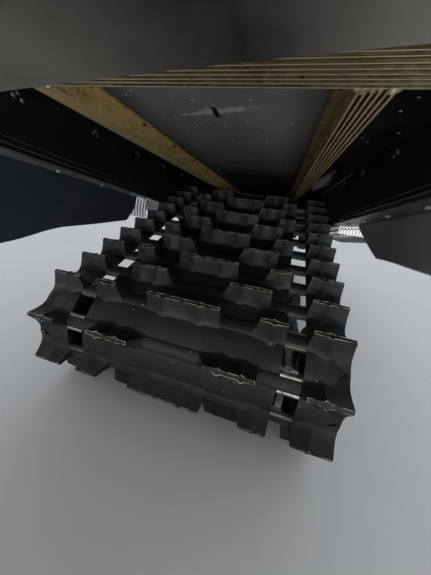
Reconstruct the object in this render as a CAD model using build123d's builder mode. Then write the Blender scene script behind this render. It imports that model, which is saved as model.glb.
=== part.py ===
import math
import os

from build123d import *

# Snowmobile track and tunnel assembly, in millimetres.
# X runs to the right, Y forward, Z up, and the track stands on Z = 0.
# A place along the machine is given ahead of the rear axle and turned into Y by along().

# Track: a moulded rubber loop with rows of paddle lugs
track_width = 508.0
belt_thick = 6.0
lug_height = 30.0
lug_base = 20.0
lug_tip = 8.0
lug_end_slope = 3.0
lug_sink = 1.5
row_count = 62
track_pitch = 64.0
row_phase = 0.48
window_x = 181.0
window_width = 32.0
window_length = 36.0

# Lug rows of the two kinds, which follow each other: inner and outer edge of each lug
#             inner  outer
narrow_row = ((60.5, 134.0), (198.0, 253.5))
centre_row = ((-62.0, 62.0), (124.0, 165.0), (198.0, 253.5))

# Wheels that the belt runs round, seen from the side
rear_idler_radius = 81.0
bow_start = 1150.0
bow_radius = 500.0
drive_teeth = 8
drive_ahead = 1683.0
drive_height = 321.0
carrier_ahead = 520.0
carrier_height = 341.0
carrier_radius = 67.0

# Tunnel: a folded sheet over the track
sheet_thick = 2.5
tunnel_inner = 262.0
tunnel_bend = 12.0
roof_under = 496.0
tunnel_rear = -163.0
tunnel_front = 1870.0
edge_height = 390.0
edge_at = 52.0
edge_fall = 0.078
edge_level = 330.0
skirt_drop = 95.0
drop_start = 1560.0
drop_run = 60.0
flange_outer = 288.0

# Coolers: finned extrusions under the roof
cooler_deep = 28.0
cooler_body = 12.0
fin_thick = 2.2
rear_fin_pitch = 6.0
rear_cooler_long = 54.0
rear_cooler_foot = 15.0
rear_cooler_half = 250.0
side_fin_pitch = 5.4
side_fin_count = 6
side_cooler_wall = 160.0
side_flange_inner = 145.0
side_flange_thick = 3.0
side_cooler_end = 1640.0
front_cooler_thick = 15.0
front_cooler_half = 250.0
front_cooler_from = -12.0
front_cooler_to = 95.0
front_fin_deep = 7.0
front_fin_sink = 1.0
front_fin_count = 14
nipple_radius = 9.5
nipple_bore = 7.0
nipple_stand = 32.0
nipple_ahead = 1560.0
nipple_collar = 11.0
nipple_clear = 0.5

# Edge strips, side flaps and running boards
strip_inner = 248.0
strip_thick = 4.0
strip_front = 262.0
flap_thick = 3.5
board_inner = 266.0
board_outer = 430.0
board_thick = 4.0
board_rear = 270.0
board_front = 1606.0
board_lip_deep = 24.0
board_lip_wide = 12.0
board_rib_deep = 9.0
board_rib_wide = 3.0
board_rib_count = 3
board_rib_inset = 28.0
hole_edge = 9.0
hole_long = 62.0
hole_step = 92.0
hole_chamfer = 8.0

# Snow flap, a moulded sheet that curves out and down behind the tunnel
snow_flap_half = 255.0
snow_flap_thick = 5.0
snow_flap_front = -148.0
snow_flap_bend = -175.0
snow_flap_radius = 420.0
snow_flap_turn = 58.0
snow_flap_corner = 45.0

# Rear bumper and tow hitch
bumper_tube = 12.5
bumper_front = 100.0
bumper_front_height = 438.0
bumper_rear = -330.0
bumper_bend = 95.0
hitch_half = 32.0
hitch_thick = 8.0
hitch_front = -60.0
hitch_rear = -392.0
hitch_pin = -362.0
hitch_pin_radius = 8.0
gusset_thick = 8.0
gusset_long = 44.0
gusset_high = 21.0
hitch_corner = 26.0

# Slide rails and sliders
rail_x = 181.0
rail_thick = 10.0
rail_deep = 75.0
rail_rear = -45.0
rail_rear_top = 152.0
rail_heel = 20.0
rail_step = (60.0, 120.0)
rail_nose = 118.0
rail_nose_height = 34.0
slider_wide = 20.0
slider_deep = 14.0
slider_rear = 24.0
slider_nose = 71.0
rail_slots = (150.0, 245.0, 455.0, 545.0, 725.0, 865.0, 1075.0)
rail_slot_long = 62.0
rail_slot_high = 26.0

# Wheels and shafts of the skid
shaft_radius = 10.0
shaft_clear = 0.3
wheel_wide = 25.0
outer_wheel_x = 217.5
inner_wheel_x = 112.5
hub_radius = 22.0
hub_over = 3.0
rim_thick = 14.0
rim_bevel = 3.0
tyre_round = 2.0
web_thick = 8.0
hub_slope = 4.0
bogie_radius = 60.0
bogie_places = (330.0, 640.0, 950.0)
nut_radius = 15.0
nut_thick = 8.0

# Suspension arms and shocks
arm_tube = 14.0
brace_tube = 11.0
arm_sleeve = 17.0
arm_leg_x = 110.0
arm_sleeve_half = 150.0
sleeve_gap = 1.0
eye_half = 17.0
front_arm_top = (1330.0, 350.0)
front_arm_foot = (1010.0, 98.0)
rear_arm_foot = (240.0, 98.0)
front_shock_foot = (1170.0, 98.0)
rear_shock_foot = (800.0, 98.0)
shock_body = 21.0
shock_rod = 7.0
shock_eye = 18.0
spring_outer = 37.0
spring_wire = 9.0
spring_turns = 8
# Shares of the distance between a shock's two eyes
shock_body_end = 0.58
shock_rod_start = 0.5
spring_seats = ((0.20, 0.22), (0.84, 0.86))
bracket_thick = 4.0
bracket_half = 52.0
bracket_low = 36.0
bracket_high = 46.0

# Drive axle, sprockets and bearings
axle_radius = 15.0
axle_end_radius = 12.7
axle_end_long = 38.0
sprocket_wide = 22.0
sprocket_reach = 5.0
tooth_root = 26.0
tooth_top = 15.0
tooth_sink = 4.0
lightening_share = 0.62
lightening_radius = 13.0
lightening_holes = 6
bearing_boss = 27.0
bearing_flange = 46.0
bearing_flange_thick = 5.0
bearing_long = 18.0
boss_clear = 1.0

# Bulkhead plate at the front
plate_thick = 6.0
plate_half = 305.0
plate_top = 520.0
plate_opening = 236.0
plate_opening_top = 440.0
plate_bolt_x = 286.0
plate_bolt_low = 270.0
plate_bolt_high = 460.0
plate_bolt_radius = 5.5

# Seat studs pass the roof in a rectangle
seat_hole_radius = 4.5
seat_hole_x = 110.0
seat_hole_rear = 500.0
seat_hole_front = 1100.0
roof_slot_ahead = 18.0
roof_slot_x = -2.0
roof_slot = (9.0, 34.0)

# How far a cut runs past the faces that it opens
cut_margin = 10.0

# Worked-out places
ground_gap = belt_thick + lug_height
rear_idler_height = ground_gap + rear_idler_radius
drive_radius = drive_teeth * track_pitch / (2 * math.pi) - belt_thick / 2
tunnel_outer = tunnel_inner + sheet_thick
roof_top = roof_under + sheet_thick
bumper_rear_height = roof_top + hitch_thick + gusset_high + shaft_clear + bumper_tube
fin_under = roof_under - cooler_deep
rear_reach = -snow_flap_bend + snow_flap_radius * math.sin(math.radians(snow_flap_turn))
front_reach = tunnel_front + plate_thick
rear_axle_y = (rear_reach - front_reach) / 2
bore_radius = shaft_radius + shaft_clear
board_rib_step = (board_outer - board_inner - 2 * board_rib_inset) / (board_rib_count - 1)
board_ribs = [board_inner + board_rib_inset + i * board_rib_step for i in range(board_rib_count)]
hole_wide = board_rib_step - 2 * hole_edge
rail_inner = rail_x - rail_thick / 2
rail_outer = rail_x + rail_thick / 2


def along(ahead):
    return rear_axle_y + ahead


def edge_under(ahead):
    return max(edge_height - edge_fall * (ahead - edge_at), edge_level)


edge_turn = edge_at + (edge_height - edge_level) / edge_fall


# The belt's inside runs round these wheels, forward along the ground and back over the top
#               ahead          height                    radius
loop_wheels = (
    (0.0, rear_idler_height, rear_idler_radius),
    (bow_start, ground_gap + bow_radius, bow_radius),
    (drive_ahead, drive_height, drive_radius),
    (carrier_ahead, carrier_height, carrier_radius),
)


def facing(first, second):
    # angle of the outward normal on the straight run between two wheels
    reach = math.dist(first[:2], second[:2])
    heading = math.atan2(second[1] - first[1], second[0] - first[0])
    return heading - math.pi / 2 + math.asin((first[2] - second[2]) / reach)


def rim_point(wheel, angle, out):
    radius = wheel[2] + out
    return (along(wheel[0] + radius * math.cos(angle)), wheel[1] + radius * math.sin(angle))


def loop_stretches():
    # each wheel's straight run to the next, then the arc round the next
    count = len(loop_wheels)
    angles = [facing(loop_wheels[i], loop_wheels[(i + 1) % count]) for i in range(count)]
    stretches = []
    for i in range(count):
        wheel, after = loop_wheels[i], loop_wheels[(i + 1) % count]
        turn = (angles[(i + 1) % count] - angles[i]) % (2 * math.pi)
        stretches.append((wheel, after, angles[i], turn))
    return stretches


stretches = loop_stretches()
neutral = belt_thick / 2


def run_length(stretch):
    wheel, after, angle, turn = stretch
    return math.dist(rim_point(wheel, angle, 0), rim_point(after, angle, 0))


def arc_length(stretch):
    wheel, after, angle, turn = stretch
    return turn * (after[2] + neutral)


loop_length = sum(run_length(s) + arc_length(s) for s in stretches)
row_step = loop_length / row_count
drive_arc_start = run_length(stretches[0]) + arc_length(stretches[0]) + run_length(stretches[1])
drive_arc_end = drive_arc_start + arc_length(stretches[1])
sprocket_rim = drive_radius - shaft_clear
tooth_tip = sprocket_rim + belt_thick + sprocket_reach
tooth_margin = math.acos(drive_radius / tooth_tip) * (drive_radius + neutral)


def loop_plane(distance, x, out):
    # plane on the belt: local X across, local Z outward, at a height out over the inside
    distance = distance % loop_length
    for stretch in stretches:
        wheel, after, angle, turn = stretch
        run = run_length(stretch)
        if distance <= run:
            y, z = rim_point(wheel, angle, out)
            share = distance
            y += share * math.cos(angle + math.pi / 2)
            z += share * math.sin(angle + math.pi / 2)
            break
        distance -= run
        if distance <= arc_length(stretch):
            angle += distance / (after[2] + neutral)
            y, z = rim_point(after, angle, out)
            break
        distance -= arc_length(stretch)
    normal = (0, math.cos(angle), math.sin(angle))
    return Plane(origin=(x, y, z), x_dir=(1, 0, 0), z_dir=normal)


def loop_outline(out):
    with BuildLine() as line:
        for wheel, after, angle, turn in stretches:
            start, end = rim_point(wheel, angle, out), rim_point(after, angle, out)
            middle = rim_point(after, angle + turn / 2, out)
            last = rim_point(after, angle + turn, out)
            Line(start, end)
            ThreePointArc(end, middle, last)
    return line.line


def save(piece, name):
    piece.part.label = name
    export_step(piece.part, f"parts/{name}.step")


def rod(x_from, x_to, ahead, height, radius):
    # a round bar across the machine, inside the builder that is open
    with BuildSketch(Plane.YZ.offset(x_from)) as section:
        with Locations((along(ahead), height)):
            Circle(radius)
    extrude(section.sketch, amount=x_to - x_from)


def bore(x_from, x_to, ahead, height, radius):
    with BuildSketch(Plane.YZ.offset(x_from)) as section:
        with Locations((along(ahead), height)):
            Circle(radius)
    extrude(section.sketch, amount=x_to - x_from, mode=Mode.SUBTRACT)


os.makedirs("parts", exist_ok=True)
sides = (("left", -1), ("right", 1))


# Track: belt with windows for the sprockets' teeth, and tapered lugs in two kinds of row
with BuildPart() as track:
    with BuildSketch(Plane.YZ) as belt_side:
        make_face(loop_outline(belt_thick))
        make_face(loop_outline(0), mode=Mode.SUBTRACT)
    extrude(amount=track_width / 2, both=True)
    window_places = [(row + row_phase + 0.5) * row_step for row in range(row_count)]
    window_planes = [
        loop_plane(place, side * window_x, neutral)
        for place in window_places
        if drive_arc_start - tooth_margin < place < drive_arc_end + tooth_margin
        for side in (-1, 1)
    ]
    with Locations(*window_planes):
        Box(window_width, window_length, belt_thick + 2 * cut_margin, mode=Mode.SUBTRACT)
    for kind, lugs in enumerate((centre_row, narrow_row)):
        for inner, outer in lugs:
            wide = outer - inner
            places = (0,) if inner < 0 else (-(inner + outer) / 2, (inner + outer) / 2)
            lug_planes = [
                loop_plane((row + row_phase) * row_step, x, belt_thick + lug_height / 2)
                for row in range(kind, row_count, 2)
                for x in places
            ]
            tall = lug_height + lug_sink
            with Locations(*[plane.offset(-lug_sink / 2) for plane in lug_planes]):
                Wedge(
                    wide, tall, lug_base,
                    lug_end_slope, (lug_base - lug_tip) / 2,
                    wide - lug_end_slope, (lug_base + lug_tip) / 2,
                    rotation=(90, 0, 0),
                )
save(track, "track")
print("loop", round(loop_length, 1), "pitch", round(row_step, 3))


# Tunnel: one folded sheet, open below and at both ends, with an outward lip
def tunnel_side(roof, rear, front, low):
    with BuildLine() as line:
        Polyline(
            (along(rear), roof),
            (along(rear), edge_under(rear) - low),
            (along(edge_turn), edge_level - low),
            (along(drop_start), edge_level - low),
            (along(drop_start + drop_run), edge_level - skirt_drop - low),
            (along(front), edge_level - skirt_drop - low),
            (along(front), roof),
            close=True,
        )
    make_face(line.line)


with BuildPart() as tunnel:
    with BuildSketch(Plane.YZ):
        tunnel_side(roof_top, tunnel_rear, tunnel_front, 0)
    extrude(amount=tunnel_outer, both=True)
    fillet(tunnel.edges().filter_by(Axis.Y).group_by(Axis.Z)[-1], tunnel_bend)
    with BuildSketch(Plane.XZ.offset(-along(tunnel_front + cut_margin))) as tunnel_hollow:
        with Locations((0, roof_under / 2)):
            Rectangle(2 * tunnel_inner, roof_under)
        fillet(tunnel_hollow.vertices().group_by(Axis.Y)[-1], tunnel_bend - sheet_thick)
    extrude(amount=tunnel_front - tunnel_rear + 2 * cut_margin, mode=Mode.SUBTRACT)
    for name, side in sides:
        with BuildSketch(Plane.YZ.offset(side * (tunnel_inner + flange_outer) / 2)):
            with BuildLine():
                Polyline(
                    (along(tunnel_rear), edge_under(tunnel_rear)),
                    (along(edge_turn), edge_level),
                    (along(drop_start), edge_level),
                    (along(drop_start), edge_level + sheet_thick),
                    (along(edge_turn), edge_level + sheet_thick),
                    (along(tunnel_rear), edge_under(tunnel_rear) + sheet_thick),
                    close=True,
                )
            make_face()
        extrude(amount=(flange_outer - tunnel_inner) / 2, both=True)
        bore(
            side * tunnel_inner - cut_margin, side * tunnel_inner + cut_margin,
            drive_ahead, drive_height, bearing_boss + boss_clear,
        )
    with BuildSketch(Plane.XY.offset(roof_under - cut_margin)):
        with Locations((0, along((seat_hole_rear + seat_hole_front) / 2))):
            with GridLocations(2 * seat_hole_x, seat_hole_front - seat_hole_rear, 2, 2):
                Circle(seat_hole_radius)
        nipple_x = side_cooler_wall + side_fin_pitch * side_fin_count / 2
        with Locations((0, along(nipple_ahead))):
            with GridLocations(2 * nipple_x, 0, 2, 1):
                Circle(nipple_collar + nipple_clear)
        with Locations((roof_slot_x, along(roof_slot_ahead))):
            Rectangle(*roof_slot)
    extrude(amount=sheet_thick + 2 * cut_margin, mode=Mode.SUBTRACT)
save(tunnel, "tunnel")


# Rear cooler: fins hang across the tunnel, with a solid foot for the snow flap
with BuildPart() as rear_cooler:
    cooler_front = tunnel_rear + rear_cooler_long
    fin_space = rear_cooler_long - rear_cooler_foot
    fin_count = int(fin_space / rear_fin_pitch)
    with BuildSketch(Plane.YZ):
        with Locations((along(tunnel_rear + rear_cooler_long / 2), roof_under - cooler_body / 2)):
            Rectangle(rear_cooler_long, cooler_body)
        with Locations((along(tunnel_rear + rear_cooler_foot / 2), roof_under - cooler_deep / 2)):
            Rectangle(rear_cooler_foot, cooler_deep)
        for fin in range(fin_count):
            fin_at = cooler_front - fin_thick / 2 - fin * rear_fin_pitch
            with Locations((along(fin_at), roof_under - cooler_deep / 2)):
                Rectangle(fin_thick, cooler_deep)
    extrude(amount=rear_cooler_half, both=True)
save(rear_cooler, "rear_cooler")


# Side coolers: a riveted flange, a hollow body and six fins, with a hose nipple on top
for name, side in sides:
    with BuildPart() as side_cooler:
        fins_wide = side_fin_pitch * (side_fin_count - 1) + fin_thick
        start, end = along(tunnel_rear + rear_cooler_long), along(side_cooler_end)
        with BuildSketch(Plane.XZ.offset(-end)):
            flange_outer_x = side_cooler_wall + fins_wide
            with Locations((side * (side_flange_inner + flange_outer_x) / 2, roof_under)):
                Rectangle(
                    flange_outer_x - side_flange_inner, side_flange_thick,
                    align=(Align.CENTER, Align.MAX),
                )
            with Locations((side * (side_cooler_wall + fins_wide / 2), roof_under)):
                Rectangle(fins_wide, cooler_body, align=(Align.CENTER, Align.MAX))
            for fin in range(side_fin_count):
                fin_x = side_cooler_wall + fin_thick / 2 + fin * side_fin_pitch
                with Locations((side * fin_x, roof_under)):
                    Rectangle(fin_thick, cooler_deep, align=(Align.CENTER, Align.MAX))
        extrude(amount=end - start)
        with BuildSketch(Plane.XY.offset(roof_under)):
            with Locations((side * nipple_x, along(nipple_ahead))):
                Circle(nipple_collar)
        extrude(amount=sheet_thick)
        with BuildSketch(Plane.XY.offset(roof_top)):
            with Locations((side * nipple_x, along(nipple_ahead))):
                Circle(nipple_radius)
        extrude(amount=nipple_stand)
        with BuildSketch(Plane.XY.offset(roof_under - cooler_body / 2)):
            with Locations((side * nipple_x, along(nipple_ahead))):
                Circle(nipple_bore)
        extrude(amount=cooler_deep + nipple_stand, mode=Mode.SUBTRACT)
    save(side_cooler, f"side_cooler_{name}")


# Front cooler: a curved extrusion round the drive axle, finned on its inside
with BuildPart() as front_cooler:
    cooler_outer = roof_under - drive_height
    cooler_inner = cooler_outer - front_cooler_thick + front_fin_deep
    sweep_angle = front_cooler_to - front_cooler_from
    with BuildSketch(Plane.YZ.offset(-front_cooler_half)) as cooler_side:
        with BuildLine():
            centre = (along(drive_ahead), drive_height)
            first = CenterArc(centre, cooler_outer, front_cooler_from, sweep_angle)
            second = CenterArc(centre, cooler_inner, front_cooler_from, sweep_angle)
            Line(first @ 0, second @ 0)
            Line(first @ 1, second @ 1)
        make_face()
        for fin in range(front_fin_count):
            fin_angle = front_cooler_from + (fin + 0.5) * sweep_angle / front_fin_count
            middle = cooler_inner - front_fin_deep / 2 + front_fin_sink / 2
            fin_y = along(drive_ahead) + middle * math.cos(math.radians(fin_angle))
            fin_z = drive_height + middle * math.sin(math.radians(fin_angle))
            with Locations(Location((fin_y, fin_z, 0), (0, 0, fin_angle))):
                Rectangle(front_fin_deep + front_fin_sink, fin_thick)
    extrude(amount=2 * front_cooler_half)
save(front_cooler, "front_cooler")


# Edge strips: flat bars under the tunnel's lip that clamp the side flaps
for name, side in sides:
    with BuildPart() as strip:
        with BuildSketch(Plane.YZ.offset(side * (strip_inner + flange_outer) / 2)):
            with BuildLine():
                Polyline(
                    (along(tunnel_rear), edge_under(tunnel_rear)),
                    (along(strip_front), edge_under(strip_front)),
                    (along(strip_front), edge_under(strip_front) - strip_thick),
                    (along(tunnel_rear), edge_under(tunnel_rear) - strip_thick),
                    close=True,
                )
            make_face()
        extrude(amount=(flange_outer - strip_inner) / 2, both=True)
    save(strip, f"edge_strip_{name}")


# Side flaps: plastic sheets that hang from the strips, each bent its own way by use
# Lower outline from the rear: place ahead and height over the ground
side_flap_outlines = {
    "left": ((-163.0, 257.0), (-101.0, 269.0), (-2.0, 288.0), (145.0, 307.0), (222.0, 316.0)),
    "right": ((-163.0, 313.0), (-49.0, 320.0), (89.0, 322.0)),
}
side_flap_tops = {"left": 238.0, "right": 222.0}
for name, side in sides:
    with BuildPart() as side_flap:
        top_front = side_flap_tops[name]
        with BuildSketch(Plane.YZ.offset(side * (flange_outer + flap_thick / 2))):
            with BuildLine():
                Polyline(
                    *[(along(ahead), height) for ahead, height in side_flap_outlines[name]],
                    (along(top_front), edge_under(top_front) + sheet_thick),
                    (along(tunnel_rear), edge_under(tunnel_rear) + sheet_thick),
                    close=True,
                )
            make_face()
        extrude(amount=flap_thick / 2, both=True)
    save(side_flap, f"side_flap_{name}")


# Running boards: extruded planks with ribs, an outer lip and cleat holes
def board_band(deep):
    with BuildLine() as line:
        Polyline(
            (along(board_rear), edge_under(board_rear)),
            (along(edge_turn), edge_level),
            (along(board_front), edge_level),
            (along(board_front), edge_level - deep),
            (along(edge_turn), edge_level - deep),
            (along(board_rear), edge_under(board_rear) - deep),
            close=True,
        )
    make_face(line.line)


# Bands of the board's section: inner edge, outer edge and depth
board_bands = [(board_inner, board_outer, board_thick)]
board_bands.append((board_outer - board_lip_wide, board_outer, board_lip_deep))
for rib in board_ribs:
    board_bands.append((rib - board_rib_wide / 2, rib + board_rib_wide / 2, board_rib_deep))
for name, side in sides:
    with BuildPart() as board:
        for inner, outer, deep in board_bands:
            with BuildSketch(Plane.YZ.offset(side * (inner + outer) / 2)):
                board_band(deep)
            extrude(amount=(outer - inner) / 2, both=True)
        lanes = [(a + b) / 2 for a, b in zip(board_ribs[:-1], board_ribs[1:])]
        holes_long = board_front - board_rear - hole_step
        hole_count = int(holes_long / hole_step)
        holes_low = edge_level - board_lip_deep
        with BuildSketch(Plane.XY.offset(holes_low)) as holes:
            with Locations(*[(side * x, along((board_rear + board_front) / 2)) for x in lanes]):
                with GridLocations(0, hole_step, 1, hole_count):
                    Rectangle(hole_wide, hole_long)
            chamfer(holes.vertices(), hole_chamfer)
        extrude(amount=edge_under(board_rear) + cut_margin - holes_low, mode=Mode.SUBTRACT)
    save(board, f"running_board_{name}")


# Snow flap: flat under the rear cooler's foot, then one long curve
with BuildPart() as snow_flap:
    bend_y = along(snow_flap_bend)
    centre_z = fin_under - snow_flap_radius
    turns = [math.radians(snow_flap_turn * share) for share in (0.5, 1.0)]
    with BuildSketch(Plane.YZ):
        with BuildLine():
            rings = []
            for radius in (snow_flap_radius, snow_flap_radius - snow_flap_thick):
                rings.append(
                    [(bend_y - radius * math.sin(t), centre_z + radius * math.cos(t)) for t in turns]
                )
            under = fin_under - snow_flap_thick
            Line((along(snow_flap_front), fin_under), (bend_y, fin_under))
            ThreePointArc((bend_y, fin_under), rings[0][0], rings[0][1])
            Line(rings[0][1], rings[1][1])
            ThreePointArc(rings[1][1], rings[1][0], (bend_y, under))
            Line((bend_y, under), (along(snow_flap_front), under))
            Line((along(snow_flap_front), under), (along(snow_flap_front), fin_under))
        make_face()
    extrude(amount=snow_flap_half, both=True)
    tip_edges = snow_flap.edges().filter_by(lambda edge: abs(edge.length - snow_flap_thick) < 0.01)
    fillet(tip_edges.group_by(Axis.Y)[0], snow_flap_corner)
save(snow_flap, "snow_flap")


# Rear bumper: one bent tube from wall to wall
with BuildPart() as rear_bumper:
    bumper_x = tunnel_outer + bumper_tube
    with BuildLine():
        bumper_path = FilletPolyline(
            (bumper_x, along(bumper_front), bumper_front_height),
            (bumper_x, along(bumper_rear), bumper_rear_height),
            (-bumper_x, along(bumper_rear), bumper_rear_height),
            (-bumper_x, along(bumper_front), bumper_front_height),
            radius=bumper_bend,
        )
    with BuildSketch(Plane(origin=bumper_path @ 0, z_dir=bumper_path % 0)):
        Circle(bumper_tube)
    sweep()
save(rear_bumper, "rear_bumper")


# Tow hitch: a tongue on the roof with a gusset up to the bumper
with BuildPart() as tow_hitch:
    with BuildSketch(Plane.XY.offset(roof_top)):
        with Locations((0, along((hitch_front + hitch_rear) / 2))):
            Rectangle(2 * hitch_half, hitch_front - hitch_rear)
    extrude(amount=hitch_thick)
    fillet(tow_hitch.edges().filter_by(Axis.Z).group_by(Axis.Y)[0], hitch_corner)
    with BuildSketch(Plane.YZ):
        with Locations((along(bumper_rear), roof_top + hitch_thick + gusset_high / 2)):
            Rectangle(gusset_long, gusset_high)
    extrude(amount=gusset_thick / 2, both=True)
    with Locations((0, along(hitch_pin), roof_top + hitch_thick)):
        Hole(hitch_pin_radius)
save(tow_hitch, "tow_hitch")


# Bulkhead plate: an arch across the tunnel's front that carries the engine bay
with BuildPart() as bulkhead_plate:
    plate_low = edge_level - skirt_drop
    with BuildSketch(Plane.XZ.offset(-along(tunnel_front + plate_thick))):
        with Locations((0, (plate_low + plate_top) / 2)):
            Rectangle(2 * plate_half, plate_top - plate_low)
        with Locations((0, plate_opening_top)):
            Rectangle(
                2 * plate_opening, plate_opening_top - plate_low + cut_margin,
                align=(Align.CENTER, Align.MAX), mode=Mode.SUBTRACT,
            )
        with Locations((0, (plate_bolt_low + plate_bolt_high) / 2)):
            with GridLocations(2 * plate_bolt_x, plate_bolt_high - plate_bolt_low, 2, 2):
                Circle(plate_bolt_radius, mode=Mode.SUBTRACT)
    extrude(amount=plate_thick)
save(bulkhead_plate, "bulkhead_plate")


# Slide rails: plates on edge with a turned-up nose, slots and shaft holes
bow_centre = (bow_start, ground_gap + bow_radius)
bow_turn = stretches[1][2] + math.pi / 2
cross_places = [(place, ground_gap + bogie_radius) for place in bogie_places]
pivot_places = [rear_arm_foot, rear_shock_foot, front_arm_foot, front_shock_foot]


def bow_point(rise, turn, ahead=0.0):
    # a point on the turned-up bow, at a height over the belt's inside
    radius = bow_radius - rise
    y = along(bow_centre[0]) + radius * math.sin(turn) + ahead * math.cos(turn)
    return (y, bow_centre[1] - radius * math.cos(turn) + ahead * math.sin(turn))


for name, side in sides:
    with BuildPart() as rail:
        foot = ground_gap + slider_deep
        head = foot + rail_deep
        with BuildSketch(Plane.YZ.offset(side * rail_x)):
            with BuildLine():
                Line((along(rail_rear), foot + rail_heel), (along(rail_rear + rail_heel), foot))
                Line((along(rail_rear + rail_heel), foot), (along(bow_start), foot))
                ThreePointArc(
                    (along(bow_start), foot),
                    bow_point(slider_deep, bow_turn / 2),
                    bow_point(slider_deep, bow_turn),
                )
                nose_low = bow_point(slider_deep, bow_turn, rail_nose)
                nose_high = bow_point(slider_deep + rail_nose_height, bow_turn, rail_nose)
                Line(bow_point(slider_deep, bow_turn), nose_low)
                Line(nose_low, nose_high)
                Line(nose_high, bow_point(slider_deep + rail_deep, bow_turn))
                ThreePointArc(
                    bow_point(slider_deep + rail_deep, bow_turn),
                    bow_point(slider_deep + rail_deep, bow_turn / 2),
                    (along(bow_start), head),
                )
                Polyline(
                    (along(bow_start), head),
                    (along(rail_step[1]), head),
                    (along(rail_step[0]), rail_rear_top),
                    (along(rail_rear), rail_rear_top),
                    (along(rail_rear), foot + rail_heel),
                )
            make_face()
            for place in rail_slots:
                with Locations((along(place), foot + rail_deep / 2)):
                    SlotOverall(rail_slot_long, rail_slot_high, mode=Mode.SUBTRACT)
        extrude(amount=rail_thick / 2, both=True)
        for ahead, height in [(0.0, rear_idler_height)] + cross_places + pivot_places:
            bore(side * rail_x - rail_thick, side * rail_x + rail_thick, ahead, height, bore_radius)
    save(rail, f"rail_{name}")

    with BuildPart() as slider:
        with BuildSketch(Plane.YZ.offset(side * rail_x)):
            with BuildLine():
                Line((along(slider_rear), ground_gap), (along(bow_start), ground_gap))
                ThreePointArc(
                    (along(bow_start), ground_gap),
                    bow_point(0, bow_turn / 2),
                    bow_point(0, bow_turn),
                )
                Line(bow_point(0, bow_turn), bow_point(0, bow_turn, slider_nose))
                Line(
                    bow_point(0, bow_turn, slider_nose),
                    bow_point(slider_deep, bow_turn, slider_nose),
                )
                Line(
                    bow_point(slider_deep, bow_turn, slider_nose),
                    bow_point(slider_deep, bow_turn),
                )
                ThreePointArc(
                    bow_point(slider_deep, bow_turn),
                    bow_point(slider_deep, bow_turn / 2),
                    (along(bow_start), foot),
                )
                Line((along(bow_start), foot), (along(slider_rear), foot))
                Line((along(slider_rear), foot), (along(slider_rear), ground_gap))
            make_face()
        extrude(amount=slider_wide / 2, both=True)
    save(slider, f"slider_{name}")


# Idler wheels: rubber rim, dished web and hub, turned about the axle
def wheel(x, ahead, height, radius):
    place = Plane(origin=(x, along(ahead), height), x_dir=(1, 0, 0), z_dir=(0, -1, 0))
    half = wheel_wide / 2
    with BuildSketch(place) as section:
        with BuildLine():
            Polyline(
                (-half - hub_over, bore_radius),
                (half + hub_over, bore_radius),
                (half + hub_over, hub_radius),
                (web_thick / 2, hub_radius + hub_slope),
                (web_thick / 2, radius - rim_thick),
                (half, radius - rim_thick + rim_bevel),
                (half, radius - tyre_round),
                (half - tyre_round, radius),
                (tyre_round - half, radius),
                (-half, radius - tyre_round),
                (-half, radius - rim_thick + rim_bevel),
                (-web_thick / 2, radius - rim_thick),
                (-web_thick / 2, hub_radius + hub_slope),
                (-half - hub_over, hub_radius),
                close=True,
            )
        make_face()
    revolve(section.sketch, axis=Axis((x, along(ahead), height), (1, 0, 0)))


with BuildPart() as rear_idlers:
    for x in (inner_wheel_x, outer_wheel_x):
        for name, side in sides:
            wheel(side * x, 0.0, rear_idler_height, rear_idler_radius)
save(rear_idlers, "rear_idlers")

for name, side in sides:
    with BuildPart() as bogies:
        for place, height in cross_places:
            wheel(side * outer_wheel_x, place, height, bogie_radius)
    save(bogies, f"bogie_wheels_{name}")

with BuildPart() as carriers:
    for name, side in sides:
        wheel(side * outer_wheel_x, carrier_ahead, carrier_height, carrier_radius)
save(carriers, "carrier_wheels")


# Shafts across the skid, each with a nut outside its wheel or wall
def shaft(ahead, height, half, nut=True):
    rod(-half, half, ahead, height, shaft_radius)
    if nut:
        rod(half, half + nut_thick, ahead, height, nut_radius)
        rod(-half - nut_thick, -half, ahead, height, nut_radius)


wheel_shaft_half = outer_wheel_x + wheel_wide / 2 + hub_over
with BuildPart() as rear_axle:
    shaft(0.0, rear_idler_height, wheel_shaft_half)
save(rear_axle, "rear_axle")

with BuildPart() as bogie_axles:
    for place, height in cross_places:
        shaft(place, height, wheel_shaft_half)
save(bogie_axles, "bogie_axles")

with BuildPart() as arm_shafts:
    for ahead, height in pivot_places:
        shaft(ahead, height, rail_outer)
    for ahead, height in ((carrier_ahead, carrier_height), front_arm_top):
        shaft(ahead, height, tunnel_inner - bracket_thick - nut_thick)
save(arm_shafts, "arm_shafts")


# Brackets that hold the arms' upper shafts, riveted inside the tunnel walls
for name, side in sides:
    with BuildPart() as brackets:
        for ahead, height in ((carrier_ahead, carrier_height), front_arm_top):
            with BuildSketch(Plane.YZ.offset(side * (tunnel_inner - bracket_thick / 2))) as tab:
                with Locations((along(ahead), height + (bracket_high - bracket_low) / 2)):
                    Rectangle(2 * bracket_half, bracket_high + bracket_low)
                chamfer(tab.vertices().group_by(Axis.Y)[0], bracket_low / 2)
            extrude(amount=bracket_thick / 2, both=True)
    save(brackets, f"arm_brackets_{name}")


# Suspension arms: two legs between split sleeves on the shafts
def leg(x, foot_place, top_place, radius, trim_foot, trim_top):
    foot_point = Vector(x, along(foot_place[0]), foot_place[1])
    top_point = Vector(x, along(top_place[0]), top_place[1])
    way = (top_point - foot_point).normalized()
    start = foot_point + way * trim_foot
    reach = (top_point - foot_point).length - trim_foot - trim_top
    with BuildSketch(Plane(origin=start, x_dir=(1, 0, 0), z_dir=way)) as section:
        Circle(radius)
    extrude(section.sketch, amount=reach)


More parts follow.
